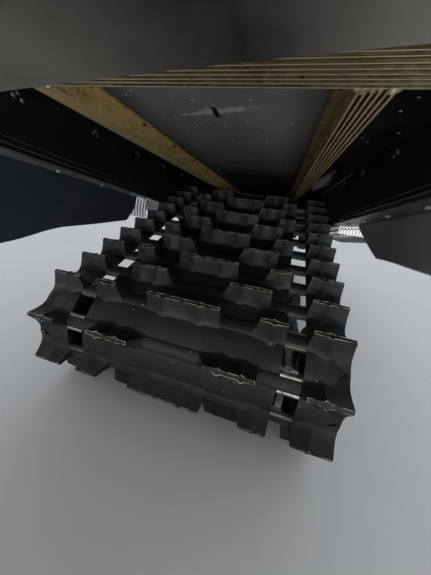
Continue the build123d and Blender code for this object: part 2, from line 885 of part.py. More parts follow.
def arm(foot_place, top_place):
    foot_half = rail_inner - sleeve_gap
    eye_side = eye_half + shaft_clear
    rod(-foot_half, foot_half, *foot_place, arm_sleeve)
    rod(-arm_sleeve_half, -eye_side, *top_place, arm_sleeve)
    rod(eye_side, arm_sleeve_half, *top_place, arm_sleeve)
    for name, side in sides:
        leg(side * arm_leg_x, foot_place, top_place, arm_tube, 0, 0)
    brace = [(a + b) / 2 for a, b in zip(foot_place, top_place)]
    rod(-arm_leg_x, arm_leg_x, *brace, brace_tube)
    for place in (foot_place, top_place):
        bore(-rail_inner, rail_inner, *place, bore_radius)


with BuildPart() as front_arm:
    arm(front_arm_foot, front_arm_top)
save(front_arm, "front_arm")

with BuildPart() as rear_arm:
    arm(rear_arm_foot, (carrier_ahead, carrier_height))
save(rear_arm, "rear_arm")


# Shocks: an eye at each end, a body below and a rod above, with a coil spring's outline
def shock(foot_place, top_place):
    for place in (foot_place, top_place):
        rod(-eye_half, eye_half, *place, shock_eye)
    reach = math.dist(foot_place, top_place)
    leg(0, foot_place, top_place, shock_body, 0, reach * (1 - shock_body_end))
    leg(0, foot_place, top_place, shock_rod, reach * shock_rod_start, 0)
    for seat_from, seat_to in spring_seats:
        leg(0, foot_place, top_place, spring_outer, reach * seat_from, reach * (1 - seat_to))
    for place in (foot_place, top_place):
        bore(-spring_outer, spring_outer, *place, bore_radius)


def spring(foot_place, top_place):
    # the coils' outline, a corrugated sleeve between the two spring seats
    reach = math.dist(foot_place, top_place)
    start, end = reach * spring_seats[0][1] + shaft_clear, reach * spring_seats[1][0] - shaft_clear
    step = (end - start) / spring_turns
    foot_point = Vector(0, along(foot_place[0]), foot_place[1])
    top_point = Vector(0, along(top_place[0]), top_place[1])
    way = (top_point - foot_point).normalized()
    inner = spring_outer - spring_wire
    outside = []
    for turn in range(spring_turns):
        outside.append((spring_outer - spring_wire / 2, start + turn * step))
        outside.append((spring_outer, start + (turn + 0.5) * step))
    outside.append((spring_outer - spring_wire / 2, end))
    place = Plane(origin=foot_point, x_dir=(1, 0, 0), z_dir=Vector(1, 0, 0).cross(way))
    with BuildSketch(place) as section:
        with BuildLine():
            Polyline((inner, start), *outside, (inner, end), close=True)
        make_face()
    revolve(section.sketch, axis=Axis(foot_point, way))


for name, foot_place, top_place in (
    ("front", front_shock_foot, front_arm_top),
    ("rear", rear_shock_foot, (carrier_ahead, carrier_height)),
):
    with BuildPart() as shock_part:
        shock(foot_place, top_place)
    save(shock_part, f"{name}_shock")
    with BuildPart() as spring_part:
        spring(foot_place, top_place)
    save(spring_part, f"{name}_spring")


# Drive axle with sprockets whose teeth pass into the windows
axle_half = tunnel_outer + bearing_flange_thick
with BuildPart() as drive_axle:
    rod(-axle_half, axle_half, drive_ahead, drive_height, axle_radius)
    rod(axle_half, axle_half + axle_end_long, drive_ahead, drive_height, axle_end_radius)
    rod(-axle_half - axle_end_long, -axle_half, drive_ahead, drive_height, axle_end_radius)
save(drive_axle, "drive_axle")

window_steps = (drive_arc_start / row_step - row_phase - 0.5) % 1.0
first_tooth = stretches[1][2] + (1 - window_steps) * row_step / (drive_radius + neutral)
with BuildPart() as sprockets:
    for name, side in sides:
        with BuildSketch(Plane.YZ.offset(side * window_x)) as sprocket_side:
            with Locations((along(drive_ahead), drive_height)):
                Circle(sprocket_rim)
            for tooth in range(drive_teeth):
                angle = math.degrees(first_tooth) + tooth * 360 / drive_teeth
                middle = sprocket_rim - tooth_sink
                tooth_y = along(drive_ahead) + middle * math.cos(math.radians(angle))
                tooth_z = drive_height + middle * math.sin(math.radians(angle))
                high = tooth_tip - middle
                slope = math.degrees(math.atan2(high, (tooth_root - tooth_top) / 2))
                with Locations(Location((tooth_y, tooth_z, 0), (0, 0, angle - 90))):
                    Trapezoid(tooth_root, high, slope, align=(Align.CENTER, Align.MIN))
            with Locations((along(drive_ahead), drive_height)):
                Circle(axle_radius + shaft_clear, mode=Mode.SUBTRACT)
                with PolarLocations(sprocket_rim * lightening_share, lightening_holes):
                    Circle(lightening_radius, mode=Mode.SUBTRACT)
        extrude(amount=sprocket_wide / 2, both=True)
save(sprockets, "drive_sprockets")

for name, side in sides:
    with BuildPart() as bearing:
        near, far = tunnel_outer, tunnel_outer + bearing_flange_thick
        for inner, outer, radius in (
            (near, far, bearing_flange),
            (tunnel_inner - bearing_long, near, bearing_boss),
        ):
            rod(side * (inner + outer) / 2 - (outer - inner) / 2,
                side * (inner + outer) / 2 + (outer - inner) / 2,
                drive_ahead, drive_height, radius)
        bore(side * tunnel_outer - 4 * cut_margin, side * tunnel_outer + 4 * cut_margin,
             drive_ahead, drive_height, axle_radius + shaft_clear)
    save(bearing, f"axle_bearing_{name}")
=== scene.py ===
import math
import random

import bmesh
import bpy
from mathutils import Matrix, Vector


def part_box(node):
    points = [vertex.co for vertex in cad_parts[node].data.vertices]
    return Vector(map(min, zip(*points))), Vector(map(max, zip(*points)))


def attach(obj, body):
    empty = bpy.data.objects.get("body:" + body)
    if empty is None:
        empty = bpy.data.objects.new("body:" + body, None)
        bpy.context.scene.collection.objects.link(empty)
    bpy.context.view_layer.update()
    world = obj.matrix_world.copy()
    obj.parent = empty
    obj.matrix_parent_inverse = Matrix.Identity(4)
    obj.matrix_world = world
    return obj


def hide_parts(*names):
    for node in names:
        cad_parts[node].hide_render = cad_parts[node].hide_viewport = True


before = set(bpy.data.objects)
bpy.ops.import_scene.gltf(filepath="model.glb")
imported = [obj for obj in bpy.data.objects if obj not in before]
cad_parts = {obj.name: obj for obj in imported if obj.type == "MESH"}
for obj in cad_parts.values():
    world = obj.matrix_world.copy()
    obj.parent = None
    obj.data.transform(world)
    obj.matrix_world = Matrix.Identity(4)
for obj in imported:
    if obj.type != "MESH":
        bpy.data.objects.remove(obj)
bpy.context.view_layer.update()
random.seed(7)
print("frame loaded,", len(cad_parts), "nodes")


# Every size below is in millimetres; "ahead" is measured forward from the rear axle
def middleOf(node):
    low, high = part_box(node)
    return (Vector(low) + Vector(high)) / 2


axle = middleOf("rear_axle")
toFrame = Matrix.Translation((0, axle.y, 0)) @ Matrix.Scale(0.001, 4)


def aheadOf(y):
    return (y - axle.y) * 1000


def placed(name, data):
    thing = bpy.data.objects.new(name, data)
    bpy.context.collection.objects.link(thing)
    return thing


def turnOutward(bm):
    bmesh.ops.recalc_face_normals(bm, faces=bm.faces)


def newPiece(name, bm, finishNames, replaced=(), smooth=35):
    # takes a mesh in millimetres into the frame and makes it a finished piece
    bmesh.ops.transform(bm, matrix=toFrame, verts=bm.verts)
    mesh = bpy.data.meshes.new(name)
    bm.to_mesh(mesh)
    bm.free()
    for finishName in finishNames:
        mesh.materials.append(finishes[finishName])
    for polygon in mesh.polygons:
        polygon.use_smooth = True
    mesh.set_sharp_from_angle(angle=math.radians(smooth))
    piece = placed(name, mesh)
    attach(piece, "root")
    if replaced:
        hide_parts(*replaced)
    return piece


# Node groups for the effects that several materials share: each takes a vector and gives a mask
def newGroup(name, **inputs):
    group = bpy.data.node_groups.new(name, "ShaderNodeTree")
    group.interface.new_socket("Vector", in_out="INPUT", socket_type="NodeSocketVector")
    for label, value in inputs.items():
        kind = "NodeSocketVector" if isinstance(value, tuple) else "NodeSocketFloat"
        group.interface.new_socket(label, in_out="INPUT", socket_type=kind).default_value = value
    group.interface.new_socket("Mask", in_out="OUTPUT", socket_type="NodeSocketFloat")
    start, end = group.nodes.new("NodeGroupInput"), group.nodes.new("NodeGroupOutput")
    return group, start.outputs, end.inputs["Mask"]


def addNode(tree, kind, links=(), **values):
    # values set the node's own settings or its sockets, by name
    node = tree.nodes.new("ShaderNode" + kind)
    for label, value in values.items():
        if hasattr(node, label):
            setattr(node, label, value)
        else:
            node.inputs[label.replace("_", " ")].default_value = value
    for source, target in links:
        tree.links.new(source, node.inputs[target])
    return node


def cloudMask(group, start, mask, links, **values):
    # noise, cut off between the group's Low and High
    cloud = addNode(group, "TexNoise", links, **values)
    links = [(cloud.outputs["Fac"], "Value"), (start["Low"], "From Min"), (start["High"], "From Max")]
    group.links.new(addNode(group, "MapRange", links).outputs["Result"], mask)
    return group


def makeBlotchGroup():
    # soft patches
    group, start, mask = newGroup("blotches", Scale=10.0, Low=0.4, High=0.6)
    links = [(start["Vector"], "Vector"), (start["Scale"], "Scale")]
    return cloudMask(group, start, mask, links, Detail=6.0, Roughness=0.62)


def makeSpeckGroup():
    # scattered grains of dust, in a share of the cells
    group, start, mask = newGroup("specks", Scale=80.0, Size=0.15, Share=0.2)
    links = [(start["Vector"], "Vector"), (start["Scale"], "Scale")]
    cells = addNode(group, "TexVoronoi", links)

    def maths(operation, first, second):
        links = [(first, 0), (second, 1)]
        return addNode(group, "Math", links, operation=operation).outputs[0]

    near = maths("SUBTRACT", start["Size"], cells.outputs["Distance"])
    dot = addNode(group, "MapRange", [(near, "Value")], From_Max=0.05)
    chance = addNode(group, "SeparateColor", [(cells.outputs["Color"], "Color")])
    kept = maths("LESS_THAN", chance.outputs[0], start["Share"])
    group.links.new(maths("MULTIPLY", dot.outputs["Result"], kept), mask)
    return group


def makeStreakGroup():
    # long marks, from noise on stretched coordinates
    group, start, mask = newGroup("streaks", Stretch=(1.0, 1.0, 1.0), Low=0.45, High=0.6)
    links = [(start["Vector"], 0), (start["Stretch"], 1)]
    scaled = addNode(group, "VectorMath", links, operation="MULTIPLY").outputs[0]
    links = [(scaled, "Vector")]
    return cloudMask(group, start, mask, links, Scale=1.0, Detail=5.0, Roughness=0.7)


blotchGroup = makeBlotchGroup()
speckGroup = makeSpeckGroup()
streakGroup = makeStreakGroup()


class Finish:
    # a material in the making: layers of colour over a base, then gloss and grain
    def __init__(self, name, light, dark, rough, metal=0.0, patch=12.0):
        self.mat = bpy.data.materials.new(name)
        self.mat.use_nodes = True
        self.tree = self.mat.node_tree
        self.shader = self.tree.nodes["Principled BSDF"]
        self.shader.inputs["Metallic"].default_value = metal
        self.coords = self.node("TexCoord").outputs["Object"]
        patches = self.blotches(patch, 0.35, 0.65)
        self.colour = self.mixed(patches, dark, light)
        self.roughness = self.ramp(patches, 0.0, 1.0, rough[1], rough[0])
        self.height = None

    def node(self, kind, links=(), **values):
        return addNode(self.tree, kind, links, **values)

    def group(self, tree, **values):
        node = self.node("Group", node_tree=tree)
        self.tree.links.new(self.coords, node.inputs["Vector"])
        for label, value in values.items():
            node.inputs[label].default_value = value
        return node.outputs["Mask"]

    def blotches(self, scale, low, high):
        return self.group(blotchGroup, Scale=scale, Low=low, High=high)

    def mixed(self, mask, first, second):
        node = self.node("Mix", data_type="RGBA")
        self.tree.links.new(mask, node.inputs[0])
        for socket, value in ((node.inputs[6], first), (node.inputs[7], second)):
            if isinstance(value, tuple):
                socket.default_value = (*value, 1)
            else:
                self.tree.links.new(value, socket)
        return node.outputs[2]

    def maths(self, operation, *values):
        node = self.node("Math", operation=operation)
        for index, value in enumerate(values):
            if isinstance(value, (int, float)):
                node.inputs[index].default_value = value
            else:
                self.tree.links.new(value, node.inputs[index])
        return node.outputs[0]

    def product(self, mask, *others):
        for other in others:
            mask = self.maths("MULTIPLY", mask, other)
        return mask

    def ramp(self, value, low, high, toLow=0.0, toHigh=1.0):
        limits = {"From_Min": low, "From_Max": high, "To_Min": toLow, "To_Max": toHigh}
        return self.node("MapRange", [(value, "Value")], **limits).outputs["Result"]

    def layer(self, mask, colour, rough=None):
        self.colour = self.mixed(mask, self.colour, colour)
        if rough is not None:
            shift = self.maths("SUBTRACT", rough, self.roughness)
            self.roughness = self.maths("MULTIPLY_ADD", mask, shift, self.roughness)

    def specks(self, scale, size, share, colour, rough=0.8):
        self.layer(self.group(speckGroup, Scale=scale, Size=size, Share=share), colour, rough)

    def streaks(self, stretch, low, high, colour, rough=None):
        self.layer(self.group(streakGroup, Stretch=stretch, Low=low, High=high), colour, rough)

    def relief(self, height, amount):
        scaled = self.maths("MULTIPLY", height, amount)
        self.height = scaled if self.height is None else self.maths("ADD", self.height, scaled)

    def axis(self, name):
        return self.node("SeparateXYZ", [(self.coords, "Vector")]).outputs[name]

    def ahead(self):
        # metres ahead of the rear axle
        return self.maths("SUBTRACT", self.axis("Y"), axle.y)

    def attribute(self, name):
        return self.node("Attribute", attribute_name=name).outputs["Fac"]

    def facing(self, x, y, z):
        # white where the surface looks this way
        normal = self.node("TexCoord").outputs["Normal"]
        toward = self.node("VectorMath", [(normal, 0)], operation="DOT_PRODUCT")
        toward.inputs[1].default_value = (x, y, z)
        return self.ramp(toward.outputs["Value"], 0.0, 0.25)

    def done(self, grain, bump, gloss=0.5):
        # grain is the scale and depth of the surface's fine noise
        cloud = self.node("TexNoise", [(self.coords, "Vector")], Scale=grain[0], Detail=3.0)
        self.relief(cloud.outputs["Fac"], grain[1])
        self.shader.inputs["Specular IOR Level"].default_value = gloss
        self.tree.links.new(self.colour, self.shader.inputs["Base Color"])
        self.tree.links.new(self.roughness, self.shader.inputs["Roughness"])
        node = self.node("Bump", [(self.height, "Height")], Strength=bump, Distance=0.001)
        self.tree.links.new(node.outputs["Normal"], self.shader.inputs["Normal"])
        return self.mat


def shaded(colour, amount, over=0.0):
    return tuple(amount * c + over for c in colour)


def trackRubber():
    coat = Finish(
        "trackRubber", (0.014, 0.0145, 0.0155), (0.0075, 0.0075, 0.008), (0.5, 0.66), patch=9,
    )
    coat.streaks((14, 60, 30), 0.52, 0.75, (0.026, 0.0245, 0.0215), 0.7)
    frayed = coat.product(coat.attribute("wearAndShade"), coat.blotches(90.0, 0.36, 0.56))
    coat.layer(coat.ramp(frayed, 0.3, 0.8), (0.30, 0.265, 0.20), 0.8)
    coat.specks(150.0, 0.16, 0.03, (0.3, 0.28, 0.25))
    return coat.done((700.0, 0.5), 0.25, 0.25)


# Marks in the tunnel's paint, in metres: dust, chips and a scuff, a roof lightened partly by painted light,
# a painted highlight and a painted reflection
tunnelMarks = {
    # height or place across, and how far to each side of it
    "ceiling": (0.4935, 0.004),
    "fold": (0.4868, 0.0011),
    "wall": (0.2612, 0.002),
    # from where to where a mark fades
    "dustAndLightAhead": (0.50, 0.0),
    "dustAndLightAcross": (0.17, 0.09),
    "foldHighlightStart": (0.27, 0.3),
    "foldHighlightEnd": (1.3, 0.9),
    # middle across and ahead, how often its half size goes into a metre each way, and its slant
    "scuff": (-0.002, 0.012),
    "scuffScale": (13.5, 88.0),
    "scuffSlant": 0.24,
    # middle across and ahead, length against width, and where it fades
    "patch": (0.226, 0.53),
    "patchSquash": 0.12,
    "patchEdge": (0.034, 0.02),
}


def tunnelPaint():
    s = tunnelMarks
    coat = Finish("tunnelPaint", (0.022, 0.023, 0.024), (0.011, 0.011, 0.012), (0.4, 0.6), patch=5)
    across, high, ahead = coat.axis("X"), coat.axis("Z"), coat.ahead()
    ceiling = coat.maths("COMPARE", high, *s["ceiling"])  # the roof's underside alone
    # the roof between the coolers is lighter towards the rear: dust and painted light, as the ground behind
    # lights the roof while the walls stay dark
    dustAndLight = coat.mixed(coat.blotches(4.0, 0.3, 0.7), (0.22, 0.22, 0.204), (0.35, 0.34, 0.298))
    near = coat.ramp(ahead, *s["dustAndLightAhead"])
    between = coat.ramp(coat.maths("ABSOLUTE", across), *s["dustAndLightAcross"])
    coat.layer(coat.product(near, between, ceiling), dustAndLight, 0.6)
    chips = coat.group(speckGroup, Scale=75.0, Size=0.17, Share=0.24)
    coat.layer(coat.product(chips, ceiling), (0.85, 0.83, 0.76), 0.7)
    coat.specks(150.0, 0.2, 0.03, (0.2, 0.19, 0.17))
    # a scuff through the paint round the small slot in the roof
    side = coat.maths("MULTIPLY", coat.maths("SUBTRACT", across, s["scuff"][0]), s["scuffScale"][0])
    turned = coat.maths("MULTIPLY_ADD", across, s["scuffSlant"], ahead)
    depth = coat.maths("MULTIPLY", coat.maths("SUBTRACT", turned, s["scuff"][1]), s["scuffScale"][1])
    reach = coat.maths("ADD", coat.product(side, side), coat.product(depth, depth))
    ragged = coat.blotches(110.0, 0.35, 0.65)
    inside = coat.ramp(coat.maths("MULTIPLY_ADD", ragged, 0.8, reach), 1.0, 0.85)
    coat.layer(coat.product(inside, ceiling), (0.60, 0.58, 0.50), 0.5)
    # a painted highlight along the right fold, and a painted reflection in a patch on the roof beside it
    fold = coat.product(coat.maths("COMPARE", high, *s["fold"]), coat.maths("COMPARE", across, *s["wall"]))
    far = coat.product(coat.ramp(ahead, *s["foldHighlightStart"]), coat.ramp(ahead, *s["foldHighlightEnd"]))
    coat.layer(coat.product(fold, far), (0.95, 0.95, 0.93), 0.3)
    aside, away = (
        coat.maths("ABSOLUTE", coat.maths("SUBTRACT", place, middle))
        for place, middle in zip((across, ahead), s["patch"])
    )
    spread = coat.maths("MULTIPLY_ADD", away, s["patchSquash"], aside)
    patch = coat.ramp(coat.maths("MULTIPLY_ADD", ragged, 0.01, spread), *s["patchEdge"])
    coat.layer(coat.product(patch, ceiling), (0.94, 0.94, 0.92), 0.4)
    return coat.done((500.0, 0.3), 0.15, 0.2)


# Coolers: tints of the metal, and below what height a fin tip is bare with a painted highlight, in metres
coolerSetup = {
    "bronze": (1.0, 0.73, 0.33),
    "bareAndHighlight": (1.0, 0.82, 0.54),
    "tipsBelow": 0.4692,
    # the painted highlight on the left cooler's outermost fin: beyond this place across, below this height,
    # and how it fades
    "finHighlightAcross": -0.1868,
    "finHighlightBelow": 0.4698,
    "finHighlightStart": (0.27, 0.36),
    "finHighlightEnd": (0.95, 0.85),
}


def coolerMetal(name, tone, stretch, axisName, first, pitch, fins):
    # bronze-stained extrusion, with a pale line along each fin's tip that is worn bare metal and a painted
    # highlight; tone says how light the clean metal, the dull metal, the stain and the pale tip line are
    s = coolerSetup
    light, dark, stain = (shaded(s["bronze"], share) for share in tone[:3])
    coat = Finish(name, light, dark, (0.42, 0.62), 0.3, 22)
    coat.streaks(stretch, 0.5, 0.7, stain, 0.65)
    coat.layer(coat.blotches(110.0, 0.5, 0.66), shaded(light, 1.12), 0.5)
    coat.layer(coat.blotches(75.0, 0.62, 0.7), shaded(stain, 0.5), 0.7)
    across = coat.maths("SUBTRACT", coat.maths("ABSOLUTE", coat.axis(axisName)), first)
    phase = coat.maths("FRACT", coat.maths("DIVIDE", across, pitch))
    ribbed = coat.ramp(across, (fins + 0.1) * pitch, (fins - 0.1) * pitch)
    low = coat.maths("LESS_THAN", coat.axis("Z"), s["tipsBelow"])
    tip = coat.product(low, coat.ramp(phase, 0.22, 0.14), ribbed, coat.blotches(45.0, 0.2, 0.45))
    coat.layer(tip, shaded(s["bareAndHighlight"], tone[3]), 0.35)
    return coat


def sideCooler(name, tone):
    s = coolerSetup
    coat = coolerMetal(name, tone, (90, 6, 60), "X", 0.160, 0.0054, 6.5)
    # a painted highlight along the left one's outermost fin, where the daylight catches it
    ahead = coat.ahead()
    outer = coat.maths("LESS_THAN", coat.axis("X"), s["finHighlightAcross"])
    low = coat.maths("LESS_THAN", coat.axis("Z"), s["finHighlightBelow"])
    far = coat.product(coat.ramp(ahead, *s["finHighlightStart"]), coat.ramp(ahead, *s["finHighlightEnd"]))
    coat.layer(coat.product(outer, low, far), (0.95, 0.94, 0.92), 0.3)
    return finishCooler(coat)


def finishCooler(coat):
    return coat.done((260.0, 0.6), 0.35)


def stripMetal(name, tone):
    light, dark, streak = (shaded((1.0, 0.97, 0.9), share * tone) for share in (0.12, 0.065, 0.18))
    coat = Finish(name, light, dark, (0.32, 0.48), 0.35, 25)
    coat.streaks((70, 5, 70), 0.56, 0.72, streak, 0.4)
    coat.specks(120.0, 0.2, 0.06, (0.10, 0.09, 0.08))
    return coat.done((420.0, 0.5), 0.25)


def apronMetal():
    # bright ribs, darker in the grooves between them: painted shade
    coat = Finish("apronMetal", (0.86, 0.88, 0.90), (0.70, 0.72, 0.75), (0.3, 0.5), 0.25, 30)
    coat.layer(coat.ramp(coat.attribute("wearAndShade"), 0.6, 0.3), (0.10, 0.11, 0.14), 0.6)
    return coat.done((350.0, 0.3), 0.3)


def highlightEdge():
    # a painted highlight: bright metal for the rod along the right wall's fold
    coat = Finish("highlightEdge", (0.95, 0.95, 0.93), (0.84, 0.83, 0.80), (0.14, 0.24), 0.9, 9)
    coat.streaks((60, 7, 60), 0.62, 0.72, (0.40, 0.38, 0.34), 0.5)
    return coat.done((450.0, 0.2), 0.1)


def boardMetal():
    # brushed along its length, with fine dark grooves
    coat = Finish("boardMetal", (0.84, 0.85, 0.86), (0.68, 0.69, 0.71), (0.28, 0.45), 0.35, 14)
    coat.streaks((160, 4, 50), 0.5, 0.75, (0.42, 0.42, 0.42), 0.5)
    groove = coat.maths("SINE", coat.maths("MULTIPLY", coat.axis("X"), 900.0))
    coat.relief(groove, 0.8)
    coat.layer(coat.ramp(groove, -0.4, -0.95), (0.30, 0.30, 0.31), 0.55)
    return coat.done((350.0, 0.3), 0.4)


def snowFlapRubber():
    # road dust dried on underneath with painted sheen: lighter towards both sides and most on the right,
    # darker in a band right of the middle
    coat = Finish(
        "snowFlapRubber", (0.044, 0.045, 0.044), (0.026, 0.027, 0.028), (0.66, 0.82), patch=4,
    )
    across, under = coat.axis("X"), coat.facing(0.0, 0.6, -0.8)
    ends = coat.maths("ABSOLUTE", coat.maths("SUBTRACT", across, 0.075))
    clouds = coat.maths("MULTIPLY_ADD", coat.blotches(7.0, 0.3, 0.7), 0.06, ends)
    coat.layer(coat.product(coat.ramp(clouds, 0.03, 0.17), under), (0.29, 0.27, 0.23), 0.6)
    dustAndSheen = coat.ramp(across, 0.10, 0.20, 0.0, 0.7)
    coat.layer(coat.product(dustAndSheen, under), (0.56, 0.54, 0.47), 0.6)
    coat.streaks((10, 22, 40), 0.56, 0.8, (0.15, 0.14, 0.12), 0.7)
    coat.specks(130.0, 0.15, 0.04, (0.26, 0.25, 0.23))
    return coat.done((600.0, 0.4), 0.2, 0.15)


def dustedPlastic(coat, streak, rough):
    coat.streaks((8, 26, 40), 0.55, 0.8, streak, rough)
    coat.specks(130.0, 0.15, 0.05, (0.30, 0.29, 0.27))
    return coat.done((600.0, 0.4), 0.2)


def sheetPlastic(name, light, dark):
    coat = Finish(name, light, dark, (0.35, 0.5), patch=6)
    return dustedPlastic(coat, shaded(light, 2.2), 0.62)


def flapPlastic(name, hazeAndSheen, side):
    # black plastic, with a haze on its inner face that is dried spray and painted sheen; the right flap's
    # paler haze is also a painted reflection of the floor
    coat = Finish(name, (0.030, 0.034, 0.040), (0.016, 0.018, 0.022), (0.28, 0.44), patch=6)
    clouds = coat.ramp(coat.blotches(5.0, 0.3, 0.7), 0.0, 1.0, 0.45, 1.0)
    coat.layer(coat.product(coat.facing(side, 0.0, 0.0), clouds), hazeAndSheen, 0.42)
    return dustedPlastic(coat, shaded(hazeAndSheen, 0.5, 0.03), 0.55)


def paintedSteel(name, light, dark, chip=(0.20, 0.18, 0.16)):
    coat = Finish(name, light, dark, (0.32, 0.5), patch=14)
    coat.layer(coat.blotches(90.0, 0.66, 0.7), chip, 0.6)
    coat.specks(200.0, 0.18, 0.06, shaded(chip, 0.5, 0.12))
    return coat.done((380.0, 0.4), 0.2)


def bareMetal(name, light, dark, stretch=(60, 8, 60)):
    coat = Finish(name, light, dark, (0.28, 0.46), 0.9, 30)
    coat.streaks(stretch, 0.5, 0.7, shaded(dark, 0.55), 0.6)
    return coat.done((450.0, 0.4), 0.2)


def clipSteel():
    # dirty spring steel, rubbed bright along its lips
    coat = Finish("clipSteel", (0.10, 0.095, 0.085), (0.04, 0.038, 0.034), (0.4, 0.6), 0.6, 60)
    rubbed = coat.product(coat.attribute("wearAndShade"), coat.blotches(160.0, 0.2, 0.5))
    coat.layer(rubbed, (0.62, 0.58, 0.50), 0.4)
    return coat.done((450.0, 0.4), 0.2)


def weldMetal():
    coat = Finish("weldMetal", (0.70, 0.64, 0.50), (0.30, 0.25, 0.17), (0.45, 0.65), 0.4, 90)
    return coat.done((260.0, 0.8), 0.4)


def wheelRubber():
    coat = Finish("wheelRubber", (0.030, 0.030, 0.031), (0.014, 0.014, 0.015), (0.5, 0.7), patch=20)
    coat.specks(260.0, 0.2, 0.08, (0.25, 0.23, 0.2))
    return coat.done((520.0, 0.6), 0.3)


finishes = {
    "track": trackRubber(),
    "tunnel": tunnelPaint(),
    "rearCooler": finishCooler(coolerMetal(
        "rearCoolerMetal", (0.33, 0.14, 0.06, 1.0), (6, 90, 60), "Y", 0.109 - axle.y, 0.006, 7.4,
    )),
    # the left side cooler's metal is about twice as light as the right's: painted light on the left,
    # painted shade on the right
    "leftCooler": sideCooler("leftCoolerMetal", (0.98, 0.84, 0.44, 0.64)),
    "rightCooler": sideCooler("rightCoolerMetal", (0.44, 0.27, 0.11, 1.0)),
    # the left strip is four times as light as the right: painted light on the left, painted shade on the
    # right
    "leftStrip": stripMetal("leftStripMetal", 2.4),
    "rightStrip": stripMetal("rightStripMetal", 0.6),
    "board": boardMetal(),
    "apron": apronMetal(),
    "highlightEdge": highlightEdge(),
    # the inner-face haze: a bluish painted sheen on the left flap, a paler painted reflection of the floor
    # on the right, both over dried spray
    "leftFlap": flapPlastic("leftFlapPlastic", (0.050, 0.062, 0.085), 1.0),
    "rightFlap": flapPlastic("rightFlapPlastic", (0.25, 0.265, 0.27), -1.0),
    "snowFlap": snowFlapRubber(),
    "blackSteel": paintedSteel("blackSteel", (0.018, 0.018, 0.019), (0.010, 0.010, 0.011)),
    "rail": bareMetal("railMetal", (0.52, 0.53, 0.54), (0.36, 0.37, 0.38), (60, 4, 60)),
    "slider": sheetPlastic("sliderPlastic", (0.030, 0.030, 0.032), (0.018, 0.018, 0.019)),
    "wheelRubber": wheelRubber(),
    "wheelDisc": sheetPlastic("wheelDisc", (0.035, 0.035, 0.037), (0.02, 0.02, 0.022)),
    "brightSteel": bareMetal("brightSteel", (0.62, 0.61, 0.58), (0.40, 0.39, 0.37)),
    "clipSteel": clipSteel(),
    "weld": weldMetal(),
    "dullBolt": paintedSteel("dullBolt", (0.22, 0.20, 0.17), (0.10, 0.09, 0.075), (0.4, 0.37, 0.3)),
    "bronzeBolt": paintedSteel("bronzeBolt", (0.13, 0.10, 0.06), (0.06, 0.045, 0.028)),
    "armPaint": paintedSteel("armPaint", (0.030, 0.030, 0.032), (0.018, 0.018, 0.019)),
    "shock": bareMetal("shockMetal", (0.55, 0.56, 0.58), (0.38, 0.39, 0.40)),
    "spring": paintedSteel("springPaint", (0.05, 0.05, 0.055), (0.025, 0.025, 0.028)),
    "sprocket": sheetPlastic("sprocketPlastic", (0.030, 0.030, 0.032), (0.017, 0.017, 0.018)),
}
nodeFinishes = {
    "tunnel": "tunnel bulkhead_plate",
    "rearCooler": "rear_cooler front_cooler",
    "leftCooler": "side_cooler_left",
    "rightCooler": "side_cooler_right",
    "leftStrip": "edge_strip_left",
    "rightStrip": "edge_strip_right",
    "leftFlap": "side_flap_left",
    "rightFlap": "side_flap_right",
    "board": "running_board_left running_board_right",
    "snowFlap": "snow_flap",
    "blackSteel": "rear_bumper tow_hitch arm_brackets_left arm_brackets_right",
    "rail": "rail_left rail_right",
    "slider": "slider_left slider_right",
    "wheelRubber": "rear_idlers bogie_wheels_left bogie_wheels_right carrier_wheels",
    "brightSteel": "rear_axle bogie_axles arm_shafts drive_axle axle_bearing_left axle_bearing_right",
    "armPaint": "front_arm rear_arm",
    "shock": "front_shock rear_shock",
    "spring": "front_spring rear_spring",
    "sprocket": "drive_sprockets",
    "track": "track",
}
for finishName, nodeNames in nodeFinishes.items():
    for nodeName in nodeNames.split():
        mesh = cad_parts[nodeName].data
        mesh.materials.clear()
        mesh.materials.append(finishes[finishName])
print("finishes made,", len(finishes))


# The belt's way round its wheels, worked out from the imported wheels
loopSetup = {
    "rows": 62,
    "rowPhase": 0.48,
    "thick": 6.0,
    "pitch": 64.0,
    "driveTeeth": 8,
    "lugReach": 36.0,
    "bowAhead": 1150.0,
    "bowRadius": 500.0,
}


def wheelOf(node):
    # place ahead, height and radius
    low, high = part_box(node)
    return (aheadOf((low[1] + high[1]) / 2), (low[2] + high[2]) * 500, (high[2] - low[2]) * 500)


driveSpot = wheelOf("drive_axle")
driveRadius = loopSetup["driveTeeth"] * loopSetup["pitch"] / (2 * math.pi) - loopSetup["thick"] / 2
loopWheels = [
    wheelOf("rear_idlers"),
    (loopSetup["bowAhead"], loopSetup["lugReach"] + loopSetup["bowRadius"], loopSetup["bowRadius"]),
    (driveSpot[0], driveSpot[1], driveRadius),
    wheelOf("carrier_wheels"),
]


def tangentAngle(first, second):
    # the outward angle of the straight run between two wheels
    reach = math.dist(first[:2], second[:2])
    heading = math.atan2(second[1] - first[1], second[0] - first[0])
    return heading - math.pi / 2 + math.asin((first[2] - second[2]) / reach)


def rimPoint(wheel, angle, out):
    return (wheel[0] + (wheel[2] + out) * math.cos(angle), wheel[1] + (wheel[2] + out) * math.sin(angle))


loopParts = []
neutral = loopSetup["thick"] / 2
nextWheels = loopWheels[1:] + loopWheels[:1]
runAngles = [tangentAngle(*pair) for pair in zip(loopWheels, nextWheels)]
for wheel, after, angle, nextAngle in zip(loopWheels, nextWheels, runAngles, runAngles[1:] + runAngles[:1]):
    run = math.dist(rimPoint(wheel, angle, 0), rimPoint(after, angle, 0))
    turn = (nextAngle - angle) % (2 * math.pi)
    loopParts.append((wheel, after, angle, run, turn * (after[2] + neutral)))
loopLength = sum(part[3] + part[4] for part in loopParts)
rowStep = loopLength / loopSetup["rows"]


